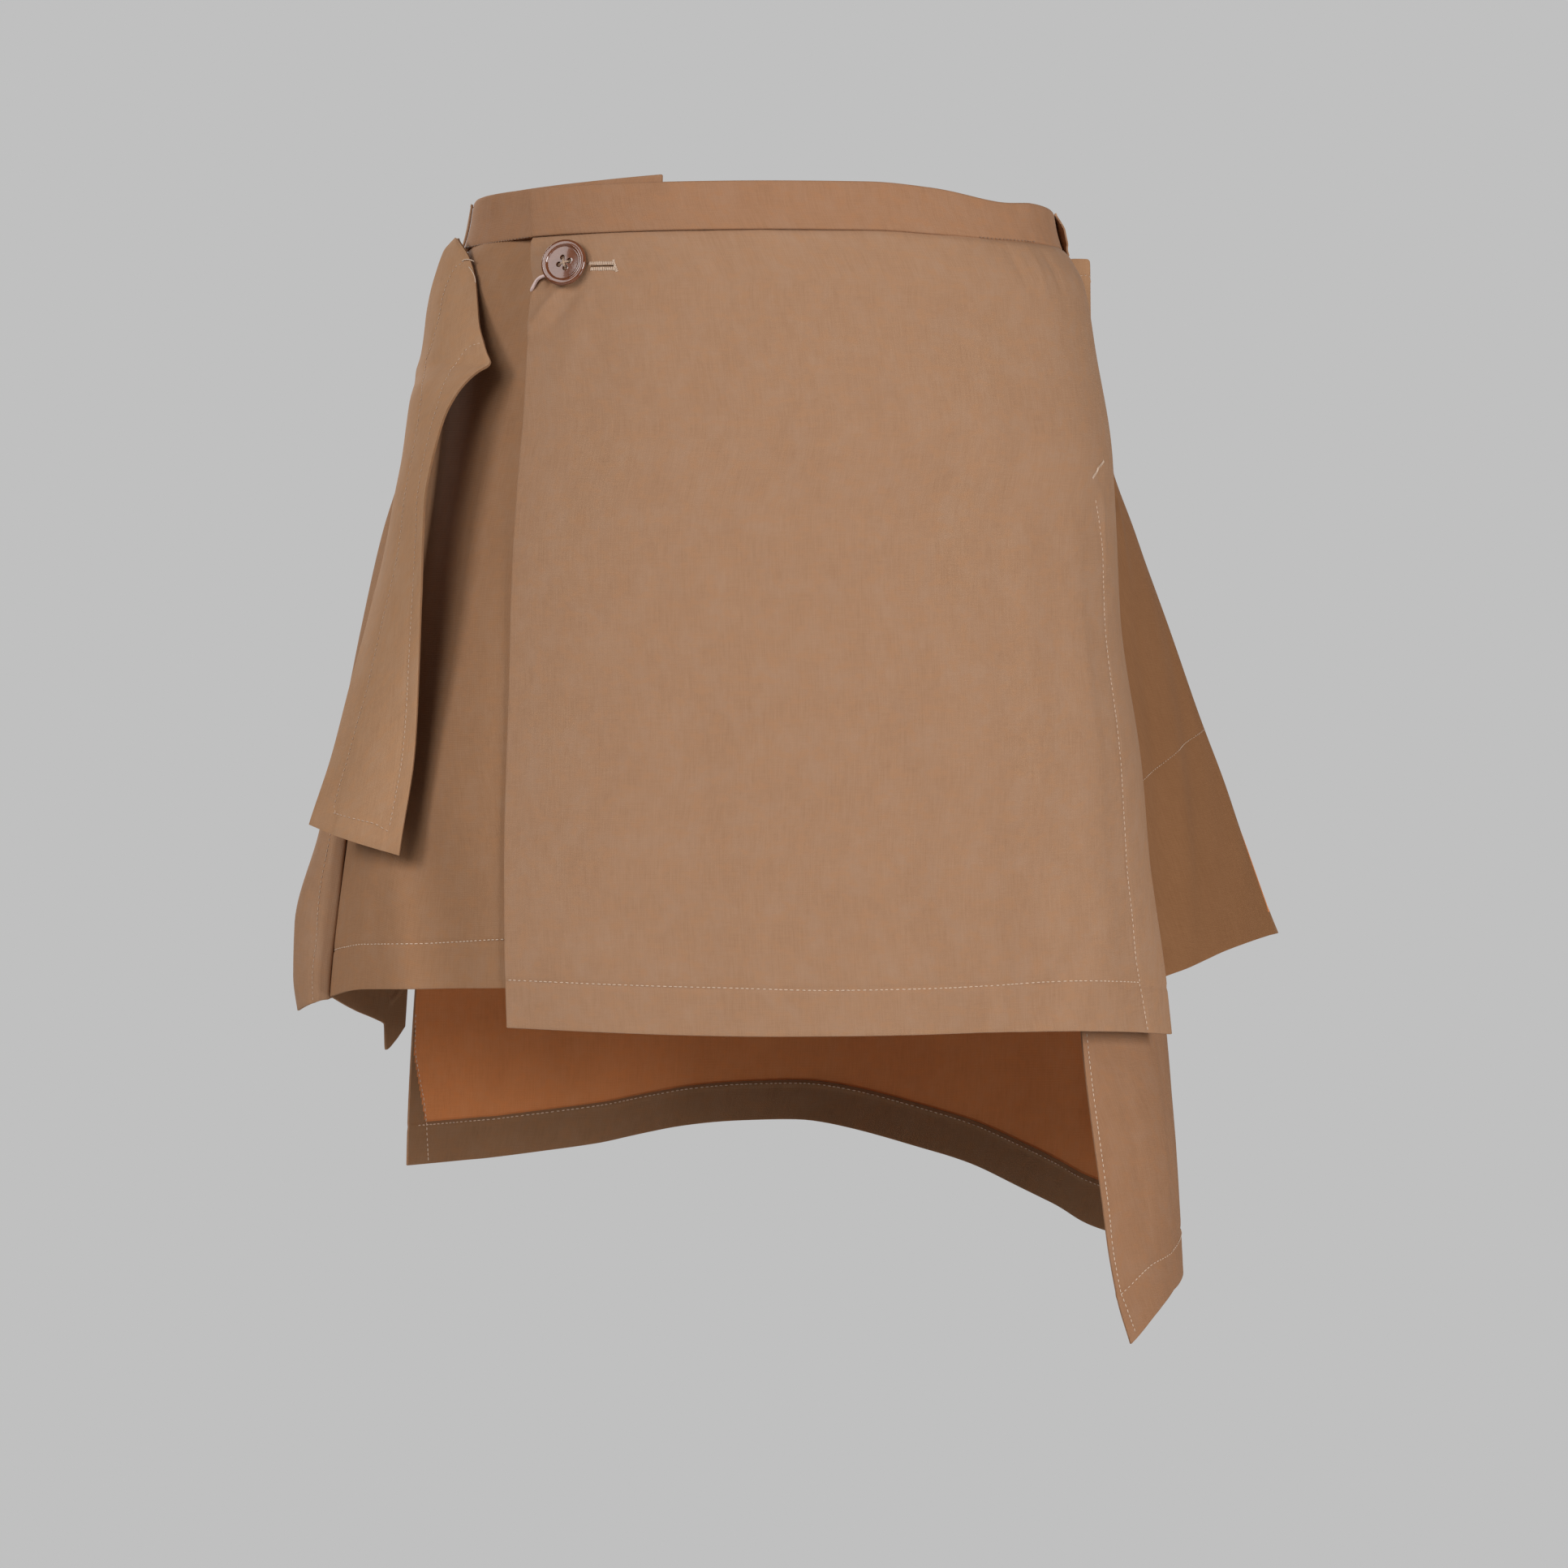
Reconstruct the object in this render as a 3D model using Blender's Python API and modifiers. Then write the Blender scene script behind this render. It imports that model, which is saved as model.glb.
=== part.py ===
"""A wrap kilt in plain wool cloth, in the form it has when it is worn.

The kilt is an asymmetric wrap skirt. A waistband strip laps over itself at the front. Under it hang an outer
and an inner front panel, a longer back panel whose right edge swings forward into a pointed tail, a flared
gore at the left hip, a flared drape at the right hip and a narrow hanging tab at the left hip.

The frame: +Z up, the front faces -Y, +X is on the right as seen from the front. The origin is the centre of
the waist ring, at half the waistband's height. Sizes below are in millimetres and angles in degrees. An angle
is taken round the waist from the front middle, positive towards +X. A drop is a distance below the origin.
"""

import bmesh
import bpy
import numpy as np
from mathutils import Euler, Vector
from math import cos, radians, sin, tau

MM = 0.001

# Driving dimensions
CLOTH_WALL = 1.2
BAND_WALL = 1.8
SEAM_GAP = 0.3
BAND_HALF_HEIGHT = 11.0
BAND_EDGE_TILT = 0.3
BACK_INSET = 2.3
BUTTON_HEIGHT = 3.4
LOOP_CORD_RADIUS = 0.6

# Colours, linear red, green and blue
WOOL_TAN = (0.33, 0.19, 0.115)
BUTTON_BROWN = (0.12, 0.035, 0.015)
CORD_PINK = (0.62, 0.42, 0.38)


def table(columns, *rows):
    """A short table with named columns and a row for each section, edge point or fold."""
    return dict(zip(columns.split(), np.array(rows, dtype=float).T))


def read(rows, column, at):
    """A column at a place in the table's first column, on a smooth curve that never overshoots the rows."""
    places = next(iter(rows.values()))
    values = rows[column]
    at = min(max(at, places[0]), places[-1])
    i = min(max(int(np.searchsorted(places, at)) - 1, 0), len(places) - 2)
    slopes = np.diff(values) / np.diff(places)

    def tangent(k):
        if k == 0:
            return slopes[0]
        if k == len(slopes):
            return slopes[-1]
        before, after = slopes[k - 1], slopes[k]
        return 2 * before * after / (before + after) if before * after > 0 else 0.0

    step = places[i + 1] - places[i]
    t = (at - places[i]) / step
    return (
        (2 * t**3 - 3 * t**2 + 1) * values[i]
        + (t**3 - 2 * t**2 + t) * step * tangent(i)
        + (3 * t**2 - 2 * t**3) * values[i + 1]
        + (t**3 - t**2) * step * tangent(i + 1)
    )


# The round form that the skirt hangs in: half widths to the left and right, half depths to the front and back.
# Between the front middle and the right side it's flatter than an ellipse, by the power on its depth.
RINGS = table(
    "drop left right front back flatness",
    (-11, 134.5, 131.0, 99.5, 99.5, 0.60),
    (0, 135.5, 132.3, 100.0, 100.0, 0.60),
    (11, 138.0, 135.0, 101.0, 101.5, 0.60),
    (18, 140.5, 140.0, 102.0, 103.0, 0.60),
    (30, 144.0, 146.0, 104.0, 106.0, 0.60),
    (60, 150.0, 151.0, 108.0, 112.0, 0.60),
    (110, 159.5, 158.5, 113.0, 120.0, 0.60),
    (180, 174.0, 160.3, 118.0, 127.0, 0.60),
    (250, 188.5, 170.5, 122.0, 132.0, 0.60),
    (285, 195.0, 175.5, 123.0, 133.5, 0.60),
    (350, 204.0, 187.0, 125.0, 136.5, 0.60),
    (430, 209.0, 194.0, 127.0, 139.0, 0.40),
    (515, 210.0, 198.0, 128.0, 141.0, 0.38),
)


def ring(angle, drop, out=0.0):
    """The place in plan at an angle round the skirt, `out` millimetres outside its round form."""
    turn = radians(angle)
    half_width = read(RINGS, "right" if sin(turn) > 0 else "left", drop) + out
    half_depth = read(RINGS, "front" if cos(turn) > 0 else "back", drop) + out
    depth_share = cos(turn)
    if sin(turn) > 0 and depth_share > 0:
        depth_share **= read(RINGS, "flatness", drop)
    return Vector((half_width * sin(turn), -half_depth * depth_share))


def folds(rows, angle, down):
    """How far the folds move the cloth out (or in, below zero) at an angle and a share of the way down."""
    moved = 0.0
    for top, hem, width, at_top, at_middle, at_hem in zip(*rows.values()):
        centre = top + (hem - top) * down
        height = np.interp(down, (0, 0.5, 1), (at_top, at_middle, at_hem))
        moved += height * np.exp(-(((angle - centre) / width) ** 2))
    return moved


FOLD_COLUMNS = "top_angle hem_angle width at_top at_middle at_hem"


def path_through(points, shares):
    """A smooth plan curve through the named points of a section; share 1.5 is halfway from point 1 to 2."""
    lengths = [0.0]
    for before, after in zip(points, points[1:]):
        lengths.append(lengths[-1] + (after - before).length)
    curve = {"along": np.array(lengths), "x": np.array([p.x for p in points]), "y": np.array([p.y for p in points])}
    along = np.interp(shares, range(len(points)), lengths)
    return Vector((read(curve, "x", along), read(curve, "y", along)))


def stations(*spans):
    """Grid stations from (start, end, number of steps) spans that follow each other."""
    places = [spans[0][0]]
    for start, end, steps in spans:
        places += list(np.linspace(start, end, steps + 1)[1:])
    return places


def finish(name, colour, roughness):
    material = bpy.data.materials.new(name)
    material.use_nodes = True
    shader = material.node_tree.nodes["Principled BSDF"]
    shader.inputs["Base Color"].default_value = (*colour, 1)
    shader.inputs["Roughness"].default_value = roughness
    return material


def collection(name):
    made = bpy.data.collections.new(name)
    bpy.context.scene.collection.children.link(made)
    return made


def add(name, mesh, home, material):
    piece = bpy.data.objects.new(name, mesh)
    home.objects.link(piece)
    mesh.materials.append(material)
    return piece


def cloth(name, across, down, place, home, material, wall=CLOTH_WALL):
    """A cloth piece: a grid laid on its outer face by place(across, down), given its wall inwards."""
    sheet = bmesh.new()
    bmesh.ops.create_grid(sheet, x_segments=len(across) - 1, y_segments=len(down) - 1, size=0.5)
    for vert in sheet.verts:
        column = round((vert.co.x + 0.5) * (len(across) - 1))
        row = round((0.5 - vert.co.y) * (len(down) - 1))
        plan, drop = place(across[column], down[row])
        vert.co = Vector((plan.x, plan.y, -drop)) * MM
    mesh = bpy.data.meshes.new(name)
    sheet.to_mesh(mesh)
    sheet.free()
    mesh.shade_smooth()
    piece = add(name, mesh, home, material)
    solidify = piece.modifiers.new("wall", "SOLIDIFY")
    solidify.thickness = wall * MM
    solidify.offset = -1
    return piece


# Waistband: one double strip that runs from its outer end at the front left round the body to its inner end.
BAND = table(
    "angle out top bottom",
    (-48.8, 2.5, -11.0, 11.0),
    (-20, 2.5, -11.0, 11.0),
    (20, 1.9, -11.0, 11.0),
    (34, 1.5, -9.0, 12.2),
    (54, 0.7, -4.2, 13.3),
    (66, 0.5, -5.2, 13.0),
    (86, 0.3, -4.4, 13.0),
    (110, 0.0, -8.0, 12.0),
    (140, 0.0, -11.0, 11.0),
    (300, 0.0, -11.0, 11.0),
    (322, 0.0, -12.6, 9.4),
    (340, 0.0, -14.6, 7.4),
)
BAND_STEPS = 76


def place_band(angle, down):
    top = read(BAND, "top", angle)
    drop = top + (read(BAND, "bottom", angle) - top) * down
    return ring(angle, drop, read(BAND, "out", angle)), drop


def panel_top(angle):
    """The drop at which a panel starts below the band."""
    return read(BAND, "bottom", angle) + BAND_EDGE_TILT + SEAM_GAP


def make_waistband(home, material):
    across = np.linspace(BAND["angle"][0], BAND["angle"][-1], BAND_STEPS + 1)
    return cloth("waistband", across, (0, 0.5, 1), place_band, home, material, BAND_WALL)


# Outer front panel: its left edge hangs free, its right edge is sewn down to the hip and free below.
OVERLAP_EDGES = table(
    "down left right",
    (0.00, -48.9, 93.0),
    (0.036, -46.9, 93.0),
    (0.064, -45.1, 93.0),
    (0.078, -45.5, 93.0),
    (0.14, -44.6, 93.0),
    (0.24, -43.2, 93.0),
    (0.28, -42.9, 91.0),
    (0.36, -42.0, 85.5),
    (0.46, -40.5, 83.5),
    (0.58, -38.5, 81.5),
    (0.68, -37.2, 78.6),
    (0.80, -35.8, 74.3),
    (0.92, -34.4, 72.4),
    (1.00, -33.6, 72.0),
)
OVERLAP_HEM = table("across drop", (0, 365.3), (0.32, 368.3), (0.75, 366.8), (1, 369.8))
OVERLAP_OUT = table("angle out", (-50, 2.2), (0, 2.2), (60, 1.2), (93, 0.0))
OVERLAP_SLIT_ANGLES = (40, 75)
OVERLAP_COLUMNS = 24
OVERLAP_SLIT_OUT = table("down out", (0, 0.0), (0.24, 0.0), (0.4, 1.8), (0.6, 2.6), (1, 2.6))
OVERLAP_FOLDS = table(
    FOLD_COLUMNS,
    (20, 29, 4.0, 0.0, 0.0, -3.0),
    (62, 37, 5.0, 0.0, 0.0, -3.5),
    (55, 52, 6.0, 0.0, 1.6, 3.0),
    (40, 45, 5.0, 0.6, 1.4, 2.0),
    (8, 14, 7.0, 0.0, 1.2, 2.2),
    (-12, -8, 9.0, 0.0, -0.8, -1.2),
)


def place_overlap(across, down):
    left = read(OVERLAP_EDGES, "left", down)
    angle = left + (read(OVERLAP_EDGES, "right", down) - left) * across
    top = panel_top(angle)
    drop = top + (read(OVERLAP_HEM, "drop", across) - top) * down
    slit_share = np.interp(angle, OVERLAP_SLIT_ANGLES, (0, 1))
    out = read(OVERLAP_OUT, "out", angle) + slit_share * read(OVERLAP_SLIT_OUT, "out", down)
    return ring(angle, drop, out + folds(OVERLAP_FOLDS, angle, down)), drop


def make_front_overlap(home, material):
    down = stations((0, 0.05, 2), (0.05, 0.078, 2), (0.078, 1, 15))
    return cloth("front_overlap", np.linspace(0, 1, OVERLAP_COLUMNS), down, place_overlap, home, material)


# Inner front panel: across 0 to 1 runs from its left fold to its hidden right edge, and 0 to -1 is the strip
# behind the fold, whose free side edge turns back into the skirt.
UNDERLAP_EDGES = table(
    "down fold right",
    (0.00, -93.5, -17.0),
    (0.29, -90.0, -17.0),
    (0.60, -84.0, -16.0),
    (0.80, -80.0, -15.0),
    (1.00, -77.7, -14.0),
)
UNDERLAP_HEM = table(
    "across drop",
    (-1.00, 371.0),
    (-0.86, 379.0),
    (-0.72, 368.5),
    (-0.40, 361.5),
    (0.00, 354.3),
    (0.22, 350.0),
    (0.45, 349.0),
    (1.00, 346.0),
)
UNDERLAP_FREE_EDGE = table(
    "drop x y",
    (11, -130.0, 14.0),
    (60, -139.0, 17.0),
    (110, -147.0, 19.0),
    (200, -156.0, 17.0),
    (280, -163.0, 12.0),
    (354, -167.0, 8.0),
    (380, -168.5, 6.0),
)
UNDERLAP_FOLDS = table(
    FOLD_COLUMNS,
    (-68, -64, 7.0, 0.0, -9.0, 0.0),
    (-50, -50, 6.0, 0.0, 0.8, 1.5),
    (-93, -86, 5.0, -2.2, -1.5, 0.0),
)
STRIP_BULGE = table("drop bulge", (11, 0.0), (110, 0.6), (300, 2.5))


def place_underlap(across, down):
    fold = read(UNDERLAP_EDGES, "fold", down)
    angle = fold + (read(UNDERLAP_EDGES, "right", down) - fold) * max(across, 0)
    top = panel_top(angle + 360)
    drop = top + (read(UNDERLAP_HEM, "drop", across) - top) * down
    front = ring(angle, drop, folds(UNDERLAP_FOLDS, angle, down))
    if across >= 0:
        return front, drop
    free = Vector((read(UNDERLAP_FREE_EDGE, "x", drop), read(UNDERLAP_FREE_EDGE, "y", drop)))
    along = free - front
    outward = Vector((-along.y, along.x)).normalized()
    bulge = outward * read(STRIP_BULGE, "bulge", drop) * sin(tau / 2 * -across)
    return front + along * -across + bulge, drop


def make_front_underlap(home, material):
    across = stations((-1, -0.72, 3), (-0.72, -0.06, 4), (-0.06, 0.04, 2), (0.04, 1, 13))
    down = stations((0, 0.1, 3), (0.1, 1, 13))
    return cloth("front_underlap", across, down, place_underlap, home, material)


# Back panel: across 0 to 1 runs from its front edge, which swings forward inside the right hip, over the back
# to its left edge.
BACK_LEFT_ANGLE = 236.0
BACK_FRONT_EDGE = table(
    "down angle",
    (0.00, 88.0),
    (0.18, 88.0),
    (0.26, 80.0),
    (0.35, 71.0),
    (0.45, 63.0),
    (0.60, 55.4),
    (0.72, 51.7),
    (0.90, 54.6),
    (0.96, 56.9),
    (1.00, 60.0),
)
BACK_HEM = table(
    "angle drop",
    (60.0, 507.0),
    (69, 494.5),
    (80, 485.5),
    (90, 480.0),
    (105, 477.0),
    (121, 469.6),
    (134.6, 457.6),
    (155, 436.0),
    (175.7, 420.0),
    (184, 421.0),
    (205, 431.0),
    (222, 437.5),
    (236, 438.6),
)
BACK_TUCK = table(
    "drop depth",
    (11, 0.0),
    (100, 0.0),
    (139, 2.2),
    (180, 3.2),
    (220, 3.6),
    (297, 5.0),
    (350, 7.0),
    (510, 7.0),
)
BACK_TUCK_ANGLES = (80, 98)
BACK_FOLDS = table(
    FOLD_COLUMNS,
    (112, 108, 8.0, 0.0, 0.0, 5.0),
    (128, 126, 7.0, 0.0, -1.0, -5.0),
    (150, 152, 9.0, 0.5, 3.0, 6.0),
    (168, 170, 8.0, 0.0, -3.0, -6.0),
    (188, 190, 9.0, 0.5, 3.0, 6.0),
    (204, 206, 7.0, 0.0, -2.0, -5.0),
    (219, 222, 7.0, 0.0, 1.5, 4.0),
)


def place_back(across, down):
    front_edge = read(BACK_FRONT_EDGE, "angle", down)
    angle = front_edge + (BACK_LEFT_ANGLE - front_edge) * across
    hem_angle = BACK_HEM["angle"][0] + (BACK_LEFT_ANGLE - BACK_HEM["angle"][0]) * across
    top = panel_top(angle)
    drop = top + (read(BACK_HEM, "drop", hem_angle) - top) * down
    tuck = read(BACK_TUCK, "depth", drop) * np.interp(angle, BACK_TUCK_ANGLES, (1, 0))
    return ring(angle, drop, folds(BACK_FOLDS, angle, down) - BACK_INSET - tuck), drop


def make_back_panel(home, material):
    across = stations((0, 0.3, 11), (0.3, 1, 22))
    down = stations((0, 0.2, 4), (0.2, 1, 15))
    return cloth("back_panel", across, down, place_back, home, material)


# Left gore: its front edge starts behind the inner panel's fold, a rounded lip and a ridge stand out, and its
# rear edge meets the back panel.
LEFT_WING = table(
    "drop front_angle front_out lip_x lip_y ridge_x ridge_y flank_x flank_y",
    (11, -91.0, 0.0, -138.0, 6.0, -137.5, 14.0, -132.0, 31.0),
    (60, -90.6, 0.0, -151.0, 5.0, -151.5, 13.0, -146.0, 38.0),
    (105, -90.0, 0.4, -162.0, 3.0, -166.5, 11.0, -160.0, 42.0),
    (141, -89.0, 0.0, -170.0, -1.0, -178.0, 7.0, -169.0, 43.0),
    (183, -87.6, -1.0, -178.0, -8.0, -187.0, 1.0, -179.0, 44.0),
    (215, -86.2, -1.6, -184.5, -14.0, -193.0, -4.0, -187.0, 44.0),
    (279, -82.6, -2.6, -196.5, -22.0, -206.0, -9.0, -201.0, 43.0),
    (322, -80.6, -3.0, -201.5, -26.0, -217.0, -10.0, -208.0, 43.0),
    (345, -79.6, -3.2, -204.0, -28.0, -217.5, -10.0, -209.0, 43.0),
    (365, -79.4, -3.2, -204.5, -28.0, -215.0, -10.0, -208.0, 43.0),
)
LEFT_WING_HEM = table("across drop", (0, 355.0), (1, 356.5), (2, 361.5), (3, 357.0), (4, 350.0))
LEFT_WING_REAR_ANGLE = -123.85


def place_left_wing(across, down):
    top = panel_top(270)
    drop = top + (read(LEFT_WING_HEM, "drop", across) - top) * down
    named = [ring(read(LEFT_WING, "front_angle", drop), drop, read(LEFT_WING, "front_out", drop))]
    for point in ("lip", "ridge", "flank"):
        named.append(Vector((read(LEFT_WING, point + "_x", drop), read(LEFT_WING, point + "_y", drop))))
    named.append(ring(LEFT_WING_REAR_ANGLE, drop, -BACK_INSET))
    return path_through(named, across), drop


def make_left_wing(home, material):
    across = stations((4, 3, 4), (3, 2, 4), (2, 1, 4), (1, 0, 3))
    down = stations((0, 1, 17))
    return cloth("left_wing", across, down, place_left_wing, home, material)


# Right drape: its front leg starts inside the outer panel's slit edge, runs out to a sharp ridge, and its rear
# leg comes back to the back panel, where it is sewn on. Its top edge is hemmed and stands free of the band.
RIGHT_WING = table(
    "drop front_angle front_out ridge_x ridge_y flank_angle flank_out",
    (14, 93.3, 0.2, 150.5, 14.0, 112.0, 4.0),
    (47, 93.3, 0.2, 151.1, 17.0, 112.0, 3.0),
    (80, 93.3, 0.2, 153.8, 21.0, 112.0, 3.2),
    (108, 92.8, 0.0, 160.8, 26.0, 112.0, 5.0),
    (139, 87.5, -1.4, 172.5, 33.0, 112.4, 7.5),
    (176, 81.7, -2.6, 186.3, 42.0, 113.0, 11.0),
    (217, 79.5, -3.0, 201.1, 51.0, 113.3, 15.5),
    (255, 76.0, -3.2, 215.3, 59.0, 113.6, 20.0),
    (297, 71.0, -4.0, 231.0, 67.0, 113.8, 24.5),
    (328, 68.0, -5.2, 242.3, 73.0, 114.0, 28.0),
    (350, 66.0, -6.0, 250.1, 76.0, 114.0, 30.0),
)
RIGHT_WING_TOP = table("across drop", (0, 14.5), (1, 13.8), (1.75, 13.6), (2.2, 14.6), (4, 13.6))
RIGHT_WING_HEM = table("across drop", (0, 350.0), (0.5, 343.0), (2, 328.0), (3, 338.0), (4, 345.0))
RIGHT_WING_REAR_ANGLE = 130.0
RIGHT_WING_REAR_OUT = 0.4
RIGHT_LEG_BULGE = table("drop bulge", (14, 0.6), (110, 1.0), (350, 2.5))
RIDGE_ROUNDING = 0.16


def place_right_wing(across, down):
    top = read(RIGHT_WING_TOP, "drop", across)
    drop = top + (read(RIGHT_WING_HEM, "drop", across) - top) * down
    front = ring(read(RIGHT_WING, "front_angle", drop), drop, read(RIGHT_WING, "front_out", drop))
    ridge = Vector((read(RIGHT_WING, "ridge_x", drop), read(RIGHT_WING, "ridge_y", drop)))
    along = ridge - front
    outward = Vector((along.y, -along.x)).normalized()
    leg = (front + ridge) / 2 + outward * read(RIGHT_LEG_BULGE, "bulge", drop)
    flank = ring(read(RIGHT_WING, "flank_angle", drop), drop, read(RIGHT_WING, "flank_out", drop))
    rear = ring(RIGHT_WING_REAR_ANGLE, drop, RIGHT_WING_REAR_OUT)
    return path_through([front, leg, ridge, flank, rear], across), drop


def make_right_wing(home, material):
    across = stations((0, 1, 4), (1, 2 - RIDGE_ROUNDING, 3), (2 - RIDGE_ROUNDING, 2 + RIDGE_ROUNDING, 2))
    across += stations((2 + RIDGE_ROUNDING, 3, 4), (3, 4, 4))[1:]
    down = stations((0, 0.3, 5), (0.3, 1, 11))
    return cloth("right_wing", across, down, place_right_wing, home, material)


# Left tab: a row for each section, with the drop, angle and distance off the skirt of both its long edges.
LEFT_FLAP = table(
    "section back_drop back_angle back_out front_drop front_angle front_out bow",
    (0, 6.0, -82.6, 7.4, 6.6, -81.2, 7.0, 0.0),
    (1, 8.8, -82.7, 9.2, 11.5, -75.3, 5.4, 0.6),
    (2, 13.3, -82.6, 11.2, 17.4, -71.2, 2.6, 1.6),
    (3, 27.9, -82.3, 11.4, 27.0, -66.6, 0.9, 3.0),
    (4, 39.0, -82.0, 11.0, 38.5, -61.7, 2.8, 5.0),
    (5, 49.5, -81.6, 10.6, 50.2, -57.5, 5.2, 6.5),
    (6, 60.0, -81.2, 10.5, 62.3, -52.8, 7.6, 7.5),
    (7, 65.5, -81.0, 10.7, 68.2, -50.5, 9.3, 8.0),
    (8, 69.0, -80.9, 10.9, 71.5, -51.3, 12.4, 8.0),
    (9, 73.5, -80.7, 11.0, 75.8, -52.3, 15.6, 8.0),
    (10, 80.0, -80.4, 10.9, 81.5, -53.2, 19.0, 7.6),
    (11, 92.0, -80.0, 10.3, 92.1, -54.1, 21.9, 7.0),
    (12, 108.0, -79.1, 10.2, 108.0, -54.4, 23.6, 6.0),
    (13, 127.0, -78.0, 10.8, 126.0, -54.7, 24.3, 5.0),
    (14, 150.0, -76.7, 11.0, 147.0, -54.1, 22.9, 4.5),
    (15, 178.0, -75.4, 13.2, 174.4, -53.3, 19.6, 5.0),
    (16, 210.6, -73.8, 16.7, 206.0, -53.1, 15.0, 5.5),
    (17, 243.0, -72.7, 19.2, 243.0, -53.4, 9.2, 6.0),
    (18, 275.6, -71.8, 24.9, 289.3, -55.4, 4.4, 5.0),
)
FLAP_WALL = 1.5
FLAP_COLUMNS = 9


def place_flap(across, section):
    ends = []
    for edge in ("back", "front"):
        drop = read(LEFT_FLAP, edge + "_drop", section)
        plan = ring(read(LEFT_FLAP, edge + "_angle", section), drop, read(LEFT_FLAP, edge + "_out", section))
        ends.append((plan, drop))
    (back, back_drop), (front, front_drop) = ends
    along = front - back
    outward = Vector((along.y, -along.x)).normalized()
    bow = read(LEFT_FLAP, "bow", section) * sin(tau / 2 * across)
    return back + along * across + outward * bow, back_drop + (front_drop - back_drop) * across


def make_left_flap(home, material):
    sections = stations((0, 14, 14), (14, 18, 8))
    return cloth("left_flap", np.linspace(0, 1, FLAP_COLUMNS), sections, place_flap, home, material, FLAP_WALL)


# Belt loops: a narrow strap that bridges the band at each hip, from the band's upper half to the panel's top.
BELT_LOOP_WIDTH = 8.0
BELT_LOOP_WALL = 1.2
BELT_LOOP_STEPS = 14
BELT_LOOP_RIGHT = table(
    "along drop out",
    (0, -5.8, 1.9),
    (1, -4.4, 2.4),
    (2, -0.8, 4.4),
    (3, 3.3, 5.4),
    (4, 8.6, 4.9),
    (5, 12.0, 3.4),
    (6, 14.8, 1.8),
)
BELT_LOOP_LEFT = table(
    "along drop out",
    (0, -10.2, 1.6),
    (1, -9.2, 2.6),
    (2, -5.0, 4.0),
    (3, 1.0, 4.6),
    (4, 7.0, 3.6),
    (5, 11.5, 2.4),
    (6, 14.6, 1.7),
)
BELT_LOOPS = (("belt_loop_left", -90.0, BELT_LOOP_LEFT), ("belt_loop_right", 88.0, BELT_LOOP_RIGHT))


def make_belt_loop(name, angle, rows, home, material):
    side = 1 if angle > 0 else -1

    def place(across, along):
        drop = read(rows, "drop", along)
        middle = ring(angle, drop, read(rows, "out", along))
        return Vector((middle.x, middle.y + side * BELT_LOOP_WIDTH * (across - 0.5))), drop

    last = rows["along"][-1]
    return cloth(name, (0, 0.5, 1), stations((0, last, BELT_LOOP_STEPS)), place, home, material, BELT_LOOP_WALL)


# Button: a dished disc with a raised rim and four holes, lying on the outer panel beside its left edge.
BUTTON_ANGLE = -39.6
BUTTON_DROP = 23.9
BUTTON_SEAT = 2.0
BUTTON_TILT = 12.0
BUTTON_STEPS = 28
BUTTON_MERGE = 0.00005
BUTTON_HOLES = 4
BUTTON_HOLE_SIDES = 8
BUTTON_HOLE_RADIUS = 1.2
BUTTON_HOLE_SPACING = 2.1
BUTTON_TURN = 18.0
BUTTON_PROFILE = table(
    "point radius height",
    (0, 0.0, 2.0),
    (1, 6.4, 2.0),
    (2, 7.6, 2.5),
    (3, 8.6, 3.3),
    (4, 9.4, 3.4),
    (5, 10.3, 2.9),
    (6, 10.7, 2.0),
    (7, 10.1, 0.8),
    (8, 7.6, 0.0),
    (9, 0.0, 0.0),
)


FACING_TURN = 1.0
FACING_DROP = 3.0


def outer_panel_point(angle, drop, off=0.0):
    """A point on the outer front panel's face and the direction that the face looks in."""
    panel_out = read(OVERLAP_OUT, "out", angle)
    here = ring(angle, drop, panel_out)
    before, after = ring(angle - FACING_TURN, drop, panel_out), ring(angle + FACING_TURN, drop, panel_out)
    above, below = ring(angle, drop - FACING_DROP, panel_out), ring(angle, drop + FACING_DROP, panel_out)
    round_it = Vector((after.x - before.x, after.y - before.y, 0))
    up_it = Vector((above.x - below.x, above.y - below.y, 2 * FACING_DROP))
    facing = round_it.cross(up_it).normalized()
    return Vector((here.x, here.y, -drop)) + facing * off, facing


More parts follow.
